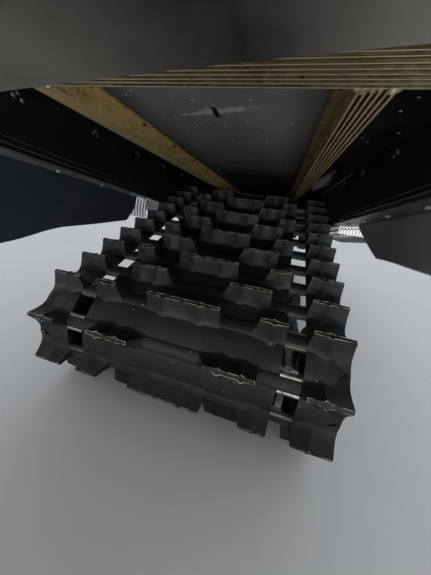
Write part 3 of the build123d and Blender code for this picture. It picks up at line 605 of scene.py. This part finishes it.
def onLoop(distance, out):
    # the place ahead, the height and the outward angle at a distance along the belt
    distance = distance % loopLength
    for wheel, after, angle, run, arc in loopParts:
        if distance <= run:
            ahead, high = rimPoint(wheel, angle, out)
            return ahead - distance * math.sin(angle), high + distance * math.cos(angle), angle
        distance -= run
        if distance <= arc:
            angle += distance / (after[2] + neutral)
            return (*rimPoint(after, angle, out), angle)
        distance -= arc
    return (*rimPoint(loopWheels[0], runAngles[0], out), runAngles[0])  # the very end, by rounding


def rowMatrix(row):
    # local X across, Y against the belt's travel, Z outward from the belt's inside
    ahead, high, angle = onLoop((row + loopSetup["rowPhase"]) * rowStep, 0)
    outward = Vector((0, math.cos(angle), math.sin(angle)))
    across = Vector((1, 0, 0))
    columns = Matrix((across, outward.cross(across), outward)).transposed()
    return Matrix.Translation((0, ahead, high)) @ columns.to_4x4()


# Track: ribbed belt bands, row bars, windows and paddle lugs
beltSetup = {
    "half": 254.0,
    "windowInner": 165.0,
    "windowOuter": 197.0,
    "border": 12.0,
    "borderHigh": 0.9,
    "webHalf": 14.0,
    "webLow": 1.6,
    "barHalf": 11.0,
    "barHigh": 4.5,
    "barGap": 1.0,
    "ribs": 11,
    "ribHigh": 0.42,
    # share of a rib's step, or of the way between two bars, and whether it is raised there
    "ribShape": ((0.05, 0), (0.4, 0), (0.7, 1)),
    "borderShape": ((0.0, 0), (0.04, 1), (0.5, 1), (0.96, 1), (1.0, 0)),
}
barStations = []
for step in range(-4, 5):
    angle = step * math.pi / 8
    barStations.append((beltSetup["barHalf"] * math.sin(angle), beltSetup["barHigh"] * math.cos(angle)))


def vertsIn(geometry):
    return [item for item in geometry if isinstance(item, bmesh.types.BMVert)]


def withEdges(verts):
    return list(verts) + list({edge for vert in verts for edge in vert.link_edges})


def bandStations(ribbed):
    # distance from the row and height over the belt, for one pitch
    s = beltSetup
    start, end = s["barHalf"] + s["barGap"], rowStep - s["barHalf"] - s["barGap"]
    stations = list(barStations)
    if ribbed:
        step = (end - start) / s["ribs"]
        for rib in range(s["ribs"]):
            for share, over in s["ribShape"]:
                stations.append((start + (rib + share) * step, over * s["ribHigh"]))
    else:
        for share, over in s["borderShape"]:
            stations.append((start + share * (end - start), over * s["borderHigh"]))
    return stations


def addBand(bm, station, inner, outer, ribbed):
    # rings round the loop, drawn out from the inside over the outside and back
    pattern = bandStations(ribbed)
    count = len(pattern) * loopSetup["rows"]
    ring = bmesh.ops.create_circle(bm, segments=count, radius=1)["verts"]
    for index, vert in enumerate(ring):
        vert[station] = index
    corners = ((inner, False), (inner, True), (outer, True), (outer, False), (inner, False))
    for corner, (x, raised) in enumerate(corners):
        for vert in ring:
            row, spot = divmod(vert[station], len(pattern))
            distance, over = pattern[spot]
            place = (row + loopSetup["rowPhase"]) * rowStep + distance
            vert.co = (x, *onLoop(place, loopSetup["thick"] + over if raised else 0.0)[:2])
        if corner < len(corners) - 1:
            members = set(ring)
            edges = {edge for vert in ring for edge in vert.link_edges if set(edge.verts) <= members}
            ring = vertsIn(bmesh.ops.extrude_edge_only(bm, edges=list(edges))["geom"])


def addPrism(bm, outline, start, end):
    # an outline across Y and Z, drawn out along X
    verts = bmesh.ops.create_circle(bm, segments=len(outline), radius=1, cap_ends=True)["verts"]
    for vert, (y, z) in zip(verts, outline):
        vert.co = (start, y, z)
    grown = bmesh.ops.extrude_face_region(bm, geom=[verts[0].link_faces[0]], use_keep_orig=True)
    far = vertsIn(grown["geom"])
    bmesh.ops.translate(bm, verts=far, vec=(end - start, 0, 0))
    return list(verts) + far


# Lugs: rows with one across the middle, and rows with one on each side of it
lugSetup = {
    # tip's inner and outer end, how far the foot runs past each end, and the columns' shares
    "rows": [
        [(-62, 62, 4, 4, (0.23, 0.73)), (124, 164, 15, 3, (0.5,)), (198.5, 253.4, 4, 0, (0.42,))],
        [(61, 134, 21, 3, (0.28, 0.74)), (198.5, 253.4, 4, 0, (0.42,))],
    ],
    "half": 3.6,
    "shoulder": 34.8,
    # height, extra half thickness, column's depth and half width, and wear
    "levels": [
        (3.5, 13.5, 3.0, 11.0, 0.0),
        (7.5, 8.4, 5.0, 9.5, 0.0),
        (13.5, 5.2, 5.6, 8.0, 0.0),
        (22.0, 2.8, 5.0, 6.8, 0.0),
        (34.8, 0.0, 3.5, 4.8, 0.0),
        (35.8, -0.3, 3.3, 4.4, 1.0),
        (35.9, -0.9, 3.1, 4.0, 0.9),
        (35.0, -1.7, 2.4, 3.0, 0.0),
    ],
    # thickness at the ends and bulge on the far side, as shares, and the foot's curve
    "endShare": 0.8,
    "farShare": 0.8,
    "footCurve": 1.3,
    "edgeFlare": 1.5,  # how much more the outer lugs' feet widen at the belt's edge
}


def lugOutline(lug, side, level):
    # plan of a lug at a level: along its near face and back along its far face
    s = lugSetup
    first, last, footFirst, footLast, columns = lug
    high, extra, deep, wide, wearAndShade = s["levels"][level]
    fall = max(1 - high / s["shoulder"], 0.0) ** s["footCurve"]
    shrink = max(-extra, 0.0)
    start, end = first - footFirst * fall + shrink, last + footLast * fall - shrink
    flare = 1 + s["edgeFlare"] * (last > beltSetup["windowOuter"]) if extra > 0 else s["endShare"]
    endHalf = s["half"] * s["endShare"]
    stations = [(start, endHalf + extra * s["endShare"], 0)]
    for share in columns:
        middle = first + (last - first) * share
        for x, bulge in ((middle - wide, 0), (middle, deep), (middle + wide, 0)):
            stations.append((x, s["half"] + extra, bulge))
    stations.append((end, endHalf + extra * flare, 0))
    near = [Vector((side * x, -(thick + bulge), high)) for x, thick, bulge in stations]
    far = [Vector((side * x, thick + s["farShare"] * bulge, high)) for x, thick, bulge in stations]
    return near + far[::-1], wearAndShade


def addLug(bm, wearLayer, station, lug, side):
    count = len(lugOutline(lug, side, 0)[0])
    verts = bmesh.ops.create_circle(bm, segments=count, radius=1, cap_ends=True)["verts"]
    for index, vert in enumerate(verts):
        vert[station] = index
    face = verts[0].link_faces[0]
    every = []
    for level in range(len(lugSetup["levels"])):
        if level:
            geometry = [face, *face.edges]
            grown = bmesh.ops.extrude_face_region(bm, geom=geometry, use_keep_orig=level == 1)["geom"]
            verts = vertsIn(grown)
            face = next(item for item in grown if isinstance(item, bmesh.types.BMFace))
        places, wearAndShade = lugOutline(lug, side, level)
        for vert in verts:
            vert.co = places[vert[station]]
            vert[wearLayer] = wearAndShade
        every += verts
    return every


def rowPattern(verts):
    return withEdges(verts) + list({face for vert in verts for face in vert.link_faces})


def copyTo(bm, pattern, place):
    copied = bmesh.ops.duplicate(bm, geom=pattern)["geom"]
    bmesh.ops.transform(bm, matrix=place, verts=vertsIn(copied))


def makeTrack():
    bm = bmesh.new()
    wearLayer = bm.verts.layers.float.new("wearAndShade")
    station = bm.verts.layers.int.new("station")
    s = beltSetup
    inner, outer = s["windowInner"] - s["border"], s["windowOuter"] + s["border"]
    addBand(bm, station, -inner, inner, True)
    for side in (-1, 1):
        addBand(bm, station, side * inner, side * s["windowInner"], False)
        addBand(bm, station, side * s["windowOuter"], side * outer, False)
        addBand(bm, station, side * outer, side * s["half"], True)
    bmesh.ops.remove_doubles(bm, verts=bm.verts, dist=0.0005)
    half, low, top = s["webHalf"], s["webLow"], loopSetup["thick"]
    web = [(half, low), (half, top)] + [(-y, top + over) for y, over in barStations]
    web += [(-half, top), (-half, low)]
    patterns = []
    for lugs in lugSetup["rows"]:
        verts = []
        for lug in lugs:
            for side in ((1,) if lug[0] < 0 else (1, -1)):
                verts += addLug(bm, wearLayer, station, lug, side)
        for side in (-1, 1):
            verts += addPrism(bm, web, side * s["windowInner"], side * s["windowOuter"])
        patterns.append(rowPattern(verts))
    for row in range(loopSetup["rows"]):
        copyTo(bm, patterns[row % 2], rowMatrix(row))
    for pattern in patterns:
        bmesh.ops.delete(bm, geom=vertsIn(pattern))
    turnOutward(bm)
    return newPiece("trackBelt", bm, ["track"], ["track"], smooth=40)


trackPiece = makeTrack()
print("track made,", len(trackPiece.data.polygons), "faces")


# Clips: a steel channel folded round each bridge between windows, with its wide lip forward
clipSetup = {
    "inner": 166.0,
    "outer": 196.0,
    # outline along the belt and up, the outside first and then back along the inside
    "outline": [
        (5.0, 7.6), (13.6, 7.6), (15.3, 6.0), (15.3, 1.0), (14.0, 0.3),
        (-14.0, 0.3), (-15.3, 1.0), (-15.3, 6.0), (-13.6, 7.6), (-8.5, 7.6),
        (-8.5, 6.5), (-13.2, 6.5), (-14.2, 5.6), (-14.2, 1.5), (14.2, 1.5), (14.2, 5.6),
        (13.2, 6.5), (5.0, 6.5),
    ],
    "bright": (0, 9, 10, 17),  # corners of the outline that are rubbed bare
}


def makeClips():
    bm = bmesh.new()
    wearLayer = bm.verts.layers.float.new("wearAndShade")
    s = clipSetup
    bright = [s["outline"][corner] for corner in s["bright"]]
    for side in (-1, 1):
        for vert in addPrism(bm, s["outline"], side * s["inner"], side * s["outer"]):
            vert[wearLayer] = float(any(math.dist(corner, vert.co.yz) < 0.01 for corner in bright))
    original = bm.verts[:]
    pattern = rowPattern(original)
    for row in range(loopSetup["rows"]):
        copyTo(bm, pattern, rowMatrix(row))
    bmesh.ops.delete(bm, geom=original)
    turnOutward(bm)
    return newPiece("trackClips", bm, ["clipSteel"], smooth=20)


makeClips()
print("clips made")


# Idler wheels: rubber tyre, ribbed disc and a bearing, turned round the axle
wheelSetup = {
    "idlersAcross": (-217.5, -112.5, 112.5, 217.5),
    "othersAcross": (-217.5, 217.5),
    "steps": 40,
    # across from the middle and radius, as far as the disc goes
    "hub": [
        (15.4, 10.3), (15.4, 12.5), (13.8, 13.0), (13.8, 19.0), (15.2, 19.6), (15.2, 22.0), (4.0, 26.5),
    ],
    # the same from the tyre's radius inward
    "rim": [
        (4.0, -17.0), (9.5, -14.5), (11.0, -11.5), (12.5, -10.5), (12.5, -2.5), (10.6, -0.2), (3.0, 0.0),
    ],
    "ribs": 8,
    "ribFoot": 24.0,
    "ribTop": -16.5,
    "ribSize": (17.0, 3.6),
    "tyreDeep": 13,
    "bearing": 18,
}


def addWheel(bm, x, place, radius):
    s = wheelSetup
    half = s["hub"] + [(over, radius + drop) for over, drop in s["rim"]]
    profile = half + [(-over, high) for over, high in reversed(half)]
    verts = bmesh.ops.create_circle(bm, segments=len(profile), radius=1)["verts"]
    for vert, (over, high) in zip(verts, profile):
        vert.co = (x + over, place[0], place[1] + high)
    middle = Vector((x, *place))
    bmesh.ops.spin(
        bm, geom=withEdges(verts), cent=middle, axis=(1, 0, 0), angle=2 * math.pi, steps=s["steps"],
        use_merge=True,
    )
    long = radius + s["ribTop"] - s["ribFoot"]
    grow = Matrix.Diagonal((*s["ribSize"], long, 1))
    lift = Matrix.Translation((0, 0, s["ribFoot"] + long / 2))
    for rib in range(s["ribs"]):
        turn = Matrix.Rotation(2 * math.pi * (rib + 0.5) / s["ribs"], 4, (1, 0, 0))
        bmesh.ops.create_cube(bm, size=1, matrix=Matrix.Translation(middle) @ turn @ lift @ grow)


def makeWheels():
    bm = bmesh.new()
    s = wheelSetup
    spots = []
    for node, acrosses in (("rear_idlers", s["idlersAcross"]), ("carrier_wheels", s["othersAcross"])):
        ahead, high, radius = wheelOf(node)
        spots += [(x, (ahead, high), radius) for x in acrosses]
    low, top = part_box("bogie_wheels_right")
    radius = (top[2] - low[2]) * 500
    ends = aheadOf(low[1]) + radius, aheadOf(top[1]) - radius
    for ahead in (ends[0], sum(ends) / 2, ends[1]):
        spots += [(x, (ahead, low[2] * 1000 + radius), radius) for x in s["othersAcross"]]
    tyres = []
    for x, place, radius in spots:
        addWheel(bm, x, place, radius)
        tyres.append((Vector((x, *place)), radius))
    turnOutward(bm)
    for face in bm.faces:
        middle = face.calc_center_median()
        place, radius = min(tyres, key=lambda tyre: (tyre[0] - middle).length)
        reach = (middle - place).yz.length
        face.material_index = 0 if reach > radius - s["tyreDeep"] else 2 if reach < s["bearing"] else 1
    nodes = ["rear_idlers", "carrier_wheels", "bogie_wheels_left", "bogie_wheels_right"]
    materials = ["wheelRubber", "wheelDisc", "brightSteel"]
    return newPiece("idlerWheels", bm, materials, nodes, smooth=40)


makeWheels()
print("wheels made")


# Springs: a wire wound round each shock between its seats
springSetup = {
    "outer": 37.0,
    "wire": 9.0,
    "sides": 8,
    "turns": 8,
    "steps": 20,
    "shares": (0.235, 0.825),
    "front": ((1170.0, 98.0), (1330.0, 350.0)),
    "rear": ((800.0, 98.0), (520.0, 341.0)),
}


def makeSpring(name):
    s = springSetup
    foot, top = (Vector((0, *place)) for place in s[name])
    way = (top - foot).normalized()
    reach = (top - foot).length
    base = foot + way * reach * s["shares"][0]
    rise = reach * (s["shares"][1] - s["shares"][0])
    steps = s["turns"] * s["steps"]
    across = Vector((1, 0, 0))
    columns = Matrix((across, way, across.cross(way))).transposed().to_4x4()
    place = Matrix.Translation(base + across * (s["outer"] - s["wire"] / 2)) @ columns
    bm = bmesh.new()
    wire = bmesh.ops.create_circle(bm, segments=s["sides"], radius=s["wire"] / 2, matrix=place)
    bmesh.ops.spin(
        bm, geom=withEdges(wire["verts"]), cent=base, axis=way, angle=2 * math.pi * s["turns"],
        steps=steps, dvec=way * rise / steps,
    )
    bmesh.ops.holes_fill(bm, edges=bm.edges, sides=s["sides"])
    turnOutward(bm)
    return newPiece(name + "Coil", bm, ["spring"], [name + "_spring"], smooth=60)


makeSpring("front")
makeSpring("rear")
print("springs made")


# Snow flap: flat at its front edge, then one long curve, sagging towards the left
snowSetup = {
    "half": 255.0,
    "front": -160.0,
    "bend": -175.0,
    "top": 468.0,
    "radius": 420.0,
    "turn": math.radians(57.5),
    "thick": 4.0,
    "corner": 45.0,
    # how far the left end hangs, where the sag starts and how it bends
    "sag": 34.5,
    "sagFrom": 185.0,
    "sagBend": 1.15,
    "ripple": (2.5, 41.0),
    "cells": (30, 26),
}


def sheetPiece(name, setup, shaped, finishName, nodes=()):
    # a grid over two shares of the sheet, shaped by a function and thickened
    bm = bmesh.new()
    columns, rows = setup["cells"]
    bmesh.ops.create_grid(bm, x_segments=columns, y_segments=rows, size=0.5)
    wearLayer = bm.verts.layers.float.new("wearAndShade")
    for vert in bm.verts:
        vert.co, vert[wearLayer] = shaped(vert.co.x + 0.5, vert.co.y + 0.5)
    turnOutward(bm)
    bmesh.ops.solidify(bm, geom=bm.faces[:], thickness=setup["thick"])
    turnOutward(bm)
    return newPiece(name, bm, [finishName], nodes, smooth=50)


def snowShape(across, along):
    s = snowSetup
    radius = s["radius"] - s["thick"] / 2
    flat = s["front"] - s["bend"]
    length = flat + radius * s["turn"]
    run = along * length
    toTip = min(length - run, s["corner"])
    inset = s["corner"] - math.sqrt(max(s["corner"] ** 2 - (s["corner"] - toTip) ** 2, 0))
    x = (2 * across - 1) * (s["half"] - inset)
    if run <= flat:
        ahead, high = s["front"] - run, s["top"] - s["thick"] / 2
    else:
        angle = (run - flat) / radius
        ahead = s["bend"] - radius * math.sin(angle)
        high = s["top"] - s["radius"] + radius * math.cos(angle)
    high -= s["sag"] * (max(s["sagFrom"] - x, 0) / (s["sagFrom"] + s["half"])) ** s["sagBend"]
    high -= s["ripple"][0] * along * (1 - math.cos(x / s["ripple"][1]))
    return Vector((x, ahead, high)), 0.0


sheetPiece("snowFlapSheet", snowSetup, snowShape, "snowFlap", ["snow_flap"])


# Side flaps: plastic sheets that bow outward below the strips
sideFlapSetup = {
    "x": 289.7,
    "thick": 3.2,
    "rear": -163.0,
    "cells": (28, 12),
    "left": {"low": [(-163, 258), (-107, 268), (-81, 272), (-2, 291), (194, 307)], "topFront": 240.0},
    "right": {"low": [(-163, 317), (-65, 324), (0, 325), (71, 323)], "topFront": 222.0},
    "frontBow": 12.0,
    "bow": 11.0,
    "wave": 6.0,
    # how far the crease stands out, where it starts, how it leans and its width
    "crease": (2.5, 0.35, 0.25, 0.05),
    # the strips' lower edge: its height at a place ahead, its fall and its lowest
    "edge": (390.0, 52.0, 0.078, 330.0),
    "tuck": 2.5,
}


def edgeUnder(ahead):
    high, place, fall, lowest = sideFlapSetup["edge"]
    return max(high - fall * (ahead - place), lowest)


def sideFlapShape(name, side):
    s = sideFlapSetup
    lows = s[name]["low"]

    def lowAt(share):
        place = lows[0][0] + share * (lows[-1][0] - lows[0][0])
        for (startAt, startHigh), (endAt, endHigh) in zip(lows, lows[1:]):
            if place <= endAt:
                break
        return place, startHigh + (place - startAt) / (endAt - startAt) * (endHigh - startHigh)

    def shaped(share, rise):
        lowPlace, lowHigh = lowAt(share)
        topPlace = s["rear"] + share * (s[name]["topFront"] - s["rear"])
        ahead = lowPlace + (topPlace - lowPlace) * rise
        ahead += s["frontBow"] * math.sin(math.pi * rise) * share ** 3
        high = lowHigh + (edgeUnder(topPlace) + s["tuck"] - lowHigh) * rise
        out, middle, lean, wide = s["crease"]
        x = s["x"] + s["bow"] * math.sin(math.pi * rise) * (1 - share ** 2)
        x += s["wave"] * (1 - rise) ** 2 * math.sin(2 * math.pi * share)
        x += out * math.exp(-(((share - middle - lean * rise) / wide) ** 2)) * (1 - rise)
        return Vector((side * x, ahead, high)), 0.0
    return shaped


for name, side in (("left", -1), ("right", 1)):
    shaped = sideFlapShape(name, side)
    nodes = ["side_flap_" + name]
    sheetPiece(name + "FlapSheet", sideFlapSetup, shaped, name + "Flap", nodes)
print("flaps made")


# Board ends: a ribbed apron that turns down on the left, and on the right a flange whose holes are dark
# discs, painted shade in the openings
boardEndSetup = {
    "apronX": (-266.0, -345.0),
    "cells": (32, 10),
    "thick": 2.5,
    "apronLean": 27.0,
    "apronCurl": 26.0,
    "ribDeep": 4.0,
    "apronHigh": (388.0, 314.0),
    "apronAhead": 268.0,
    "flangeX": (266.0, 334.0),
    "flangeHigh": (350.0, 390.0),
    "flangeAhead": (270.0, 273.0),
    "holes": (9, 2),
    "holeRadius": 2.0,
    "holeFirst": (273.0, 362.0),
    "holeStep": (7.0, 8.0),
    "holeRise": 0.12,
}


def apronShape(across, along):
    s = boardEndSetup
    (inner, outer), (top, low) = s["apronX"], s["apronHigh"]
    x = inner + across * (outer - inner) - s["apronLean"] * along
    # raised ribs are marked 1 in the mesh attribute the apron's finish reads and the grooves 0, so the
    # grooves get painted shade
    raised = round(across * s["cells"][0]) % 4 in (1, 2)
    ahead = s["apronAhead"] + s["apronCurl"] * along ** 2 + (0 if raised else s["ribDeep"])
    return Vector((x, ahead, top + along * (low - top))), float(raised)


sheetPiece("boardApron", boardEndSetup, apronShape, "apron")


def makeBoardFlange():
    s = boardEndSetup
    bm = bmesh.new()
    (rear, front), (low, top) = s["flangeAhead"], s["flangeHigh"]
    addPrism(bm, [(rear, low), (front, low), (front, top), (rear, top)], *s["flangeX"])
    plates = len(bm.faces)
    # dark discs on the flange's face stand in for the holes: painted shade in the openings
    for column in range(s["holes"][0]):
        for row in range(s["holes"][1]):
            x = s["holeFirst"][0] + column * s["holeStep"][0]
            high = s["holeFirst"][1] + row * s["holeStep"][1] + s["holeRise"] * (x - s["holeFirst"][0])
            place = Matrix.Translation((x, rear - 0.1, high)) @ Matrix.Rotation(math.pi / 2, 4, "X")
            bmesh.ops.create_circle(bm, segments=10, radius=s["holeRadius"], cap_ends=True, matrix=place)
    bm.faces.ensure_lookup_table()
    for face in bm.faces[plates:]:
        face.material_index = 1
    return newPiece("boardFlange", bm, ["board", "wheelRubber"])


makeBoardFlange()
print("board ends made")


# Fasteners: rows of heads on both sides, in millimetres across, ahead and up
fastenerSetup = {
    # radius, share of it at the top, height, number of sides, and finish: bright, dull or bronze
    "rivet": (3.2, 0.55, 1.8, 10, 1),
    "bolt": (5.2, 0.92, 3.4, 6, 0),
    "stripBolt": (4.4, 0.92, 3.0, 6, 1),
    "dome": (5.0, 0.55, 3.0, 12, 0),
    "coolerDome": (5.0, 0.55, 3.0, 12, 2),
    # even rows: across, first place ahead, height (the boards' is over the strip), step, number
    "coolerRow": (151, -60, 493.0, 124, 14),
    "rivetRow": (262, -77, 473, 138, 12),
    "rivetTrio": ((0, 0), (6.5, 4.5), (11, -2)),
    "boardRow": (277, 330, 2.5, 140, 9),
    "stripX": 268,
    "stripUnder": 4.0,
    "stripAhead": {-1: (-128, -14, 87, 193, 250), 1: (-139, -51, 37, 125, 213)},
    "bumperSpots": ((289, 70, 443.7), (289, 10, 457.9)),
    "hitchSpots": ((20, -90, 506.5), (20, -250, 506.5)),
    # round the drive axle's bearings, and round the shocks' upper ends
    "bearingX": 269.5,
    "bearingReach": 38.0,
    "bearingAngles": (30, 150, 270),
    "shockX": 258,
    "shockSpots": ((-38, 30), (38, 30), (-12, -26), (30, -26)),
}


def addCone(bm, middle, way, radii, high, sides, tint):
    made = set(bm.faces)
    place = Matrix.Translation(middle) @ way.to_track_quat("Z", "Y").to_matrix().to_4x4()
    bmesh.ops.create_cone(
        bm, cap_ends=True, segments=sides, radius1=radii[0], radius2=radii[1], depth=high,
        matrix=place,
    )
    for face in set(bm.faces) - made:
        face.material_index = tint


def addHead(bm, kind, place, way):
    radius, taper, high, sides, tint = fastenerSetup[kind]
    way = Vector(way)
    addCone(bm, Vector(place) + way * high / 2, way, (radius, radius * taper), high, sides, tint)


def headRow(name):
    x, first, high, step, count = fastenerSetup[name]
    return [(x, first + step * index, high) for index in range(count)]


def sideHeads(side):
    # kind, place on the right and the way it faces, for one side
    s = fastenerSetup
    out, into, up, down = (side, 0, 0), (-side, 0, 0), (0, 0, 1), (0, 0, -1)
    for spot in headRow("coolerRow"):
        yield "coolerDome", spot, down
    for x, ahead, high in headRow("rivetRow"):
        for further, higher in s["rivetTrio"]:
            yield "rivet", (x, ahead + further, high + higher), into
    for ahead in s["stripAhead"][side]:
        yield "stripBolt", (s["stripX"], ahead, edgeUnder(ahead) - s["stripUnder"]), down
    for x, ahead, over in headRow("boardRow"):
        yield "dome", (x, ahead, edgeUnder(ahead) + over), up
    for spot in s["bumperSpots"]:
        yield "bolt", spot, out
    for angle in s["bearingAngles"]:
        ahead = driveSpot[0] + s["bearingReach"] * math.cos(math.radians(angle))
        high = driveSpot[1] + s["bearingReach"] * math.sin(math.radians(angle))
        yield "bolt", (s["bearingX"], ahead, high), out
    for ahead, high in (springSetup["rear"][1], springSetup["front"][1]):
        for further, higher in s["shockSpots"]:
            yield "dome", (s["shockX"], ahead + further, high + higher), into
    for spot in s["hitchSpots"]:
        yield "bolt", spot, up


def makeFasteners():
    bm = bmesh.new()
    for side in (-1, 1):
        for kind, (x, ahead, high), way in sideHeads(side):
            addHead(bm, kind, (side * x, ahead, high), way)
    return newPiece("fasteners", bm, ["brightSteel", "dullBolt", "bronzeBolt"], smooth=30)


makeFasteners()
print("fasteners made")


# Beads: thin rods along the fold of each wall and along the crease above it, there to carry painted
# highlight lines
beadSetup = {
    # across, height over the strip's edge, and radius and finish, dull or painted highlight, left and right
    "fold": (261.2, 9.0, ((1.2, 0), (2.2, 1))),
    "crease": (261.8, 17.5, ((0.5, 0), (0.8, 0))),
    "ends": (-163.0, 262.0),
    "sides": 8,
}


def makeBeads():
    bm = bmesh.new()
    start, end = beadSetup["ends"]
    for side in (-1, 1):
        for x, over, looks in (beadSetup["fold"], beadSetup["crease"]):
            radius, tint = looks[side > 0]
            first = Vector((side * x, start, edgeUnder(start) + over))
            last = Vector((side * x, end, edgeUnder(end) + over))
            way = last - first
            addCone(bm, (first + last) / 2, way, (radius, radius), way.length, beadSetup["sides"], tint)
    return newPiece("highlightBeads", bm, ["dullBolt", "highlightEdge"])


makeBeads()


# Slot cover: a small pressed plate over the slot in the roof
slotSetup = {"x": -2.0, "ahead": 18.0, "half": (12.0, 24.0), "rim": 0.8, "high": 2.2, "slope": 2.0}


def makeSlotCover():
    bm = bmesh.new()
    s = slotSetup
    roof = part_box("tunnel")[1][2] * 1000
    top, rim = roof + s["high"], roof + s["rim"]
    rear, front = s["ahead"] - s["half"][1], s["ahead"] + s["half"][1]
    outline = [(rear, roof), (front, roof), (front, rim)]
    outline += [(front - s["slope"], top), (rear + s["slope"], top), (rear, rim)]
    addPrism(bm, outline, s["x"] - s["half"][0], s["x"] + s["half"][0])
    turnOutward(bm)
    return newPiece("slotCover", bm, ["blackSteel"])


makeSlotCover()


# Rear fin: the cooler's last fin, in the groove before its foot; height and half thickness
rearFinSetup = {"half": 249.0, "ahead": -145.6, "root": (484.6, 1.3), "tip": (468.4, 0.8)}


def makeRearFin():
    bm = bmesh.new()
    s = rearFinSetup
    (top, rootHalf), (low, tipHalf) = s["root"], s["tip"]
    outline = [(s["ahead"] - rootHalf, top), (s["ahead"] + rootHalf, top)]
    outline += [(s["ahead"] + tipHalf, low), (s["ahead"] - tipHalf, low)]
    addPrism(bm, outline, -s["half"], s["half"])
    turnOutward(bm)
    return newPiece("rearFin", bm, ["rearCooler"])


makeRearFin()


# Welds where the side coolers meet the rear cooler
weldSetup = {
    "blobs": 22,
    "x": (158.0, 190.0),
    "ahead": -105.0,
    "spread": (-4.0, 5.0),
    "high": (468.5, 474.0),
    "radius": (1.6, 3.6),
    "stretch": (1.4, 0.9, 1.0),
    "turn": (0, 3.1),
}


def makeWelds():
    bm = bmesh.new()
    s = weldSetup
    for side in (-1, 1):
        for blob in range(s["blobs"]):
            x = side * random.uniform(*s["x"])
            ahead = s["ahead"] + random.uniform(*s["spread"])
            place = Matrix.Translation((x, ahead, random.uniform(*s["high"])))
            grow = Matrix.Diagonal((*shaded(s["stretch"], random.uniform(*s["radius"])), 1))
            spin = Matrix.Rotation(random.uniform(*s["turn"]), 4, "Y")
            bmesh.ops.create_icosphere(bm, subdivisions=1, radius=1, matrix=place @ spin @ grow)
    return newPiece("coolerWelds", bm, ["weld"], smooth=60)


makeWelds()
print("trim made")


# Camera, where the photograph was taken, in metres from the rear axle's middle
cameraSetup = {
    "place": (0.120, -0.348, 0.241),
    "right": (0.95369941, 0.27039395, 0.13169873),
    "down": (0.20858716, -0.27917283, -0.93731207),
    "forward": (-0.21667681, 0.92138463, -0.32264767),
    "focalPixels": 216.6,
    "longSidePixels": 575,
    "sensor": 36.0,
}
camData = bpy.data.cameras.new("viewCamera")
camData.sensor_width = cameraSetup["sensor"]
camData.lens = cameraSetup["sensor"] * cameraSetup["focalPixels"] / cameraSetup["longSidePixels"]
camData.clip_start = 0.005
camera = placed("viewCamera", camData)
turned = Matrix((
    cameraSetup["right"],
    [-v for v in cameraSetup["down"]],
    [-v for v in cameraSetup["forward"]],
)).transposed()
camera.matrix_world = Matrix.Translation(axle + Vector(cameraSetup["place"])) @ turned.to_4x4()
bpy.context.scene.camera = camera
bpy.context.scene.view_settings.view_transform = "Standard"

# Pale studio: an even sky, and a broad soft lamp low behind the camera, turned up at the roof
lightSetup = {
    "sky": (0.86, 0.90, 0.95, 1),
    "skyStrength": 0.75,
    "lampPlace": (0.05, -1.75, 0.24),
    "lampAim": (0.0, -0.45, 0.60),
    "lampSize": (1.2, 0.3),
    "lampSpread": 60.0,  # degrees, as from a gridded box, so the ground under it stays plain
    "lampPower": 3.4,
    "floor": (0.78, 0.78, 0.77),
}
world = bpy.data.worlds.new("studio")
world.use_nodes = True
world.node_tree.nodes["Background"].inputs[0].default_value = lightSetup["sky"]
world.node_tree.nodes["Background"].inputs[1].default_value = lightSetup["skyStrength"]
bpy.context.scene.world = world

lampData = bpy.data.lights.new("rearLamp", "AREA")
lampData.shape = "RECTANGLE"
lampData.size, lampData.size_y = lightSetup["lampSize"]
lampData.spread = math.radians(lightSetup["lampSpread"])
lampData.energy = lightSetup["lampPower"]
lamp = placed("rearLamp", lampData)
lamp.location = lightSetup["lampPlace"]
aim = Vector(lightSetup["lampAim"]) - lamp.location
lamp.rotation_euler = aim.to_track_quat("-Z", "Y").to_euler()

pale = lightSetup["floor"]
floorPaint = Finish("floorPaint", pale, shaded(pale, 0.96), (0.7, 0.8), patch=2)
floorMesh = bmesh.new()
bmesh.ops.create_grid(floorMesh, x_segments=4, y_segments=4, size=12)
floorData = bpy.data.meshes.new("floor")
floorMesh.to_mesh(floorData)
floorMesh.free()
floorData.materials.append(floorPaint.done((80.0, 0.2), 0.05))
floor = placed("floor", floorData)
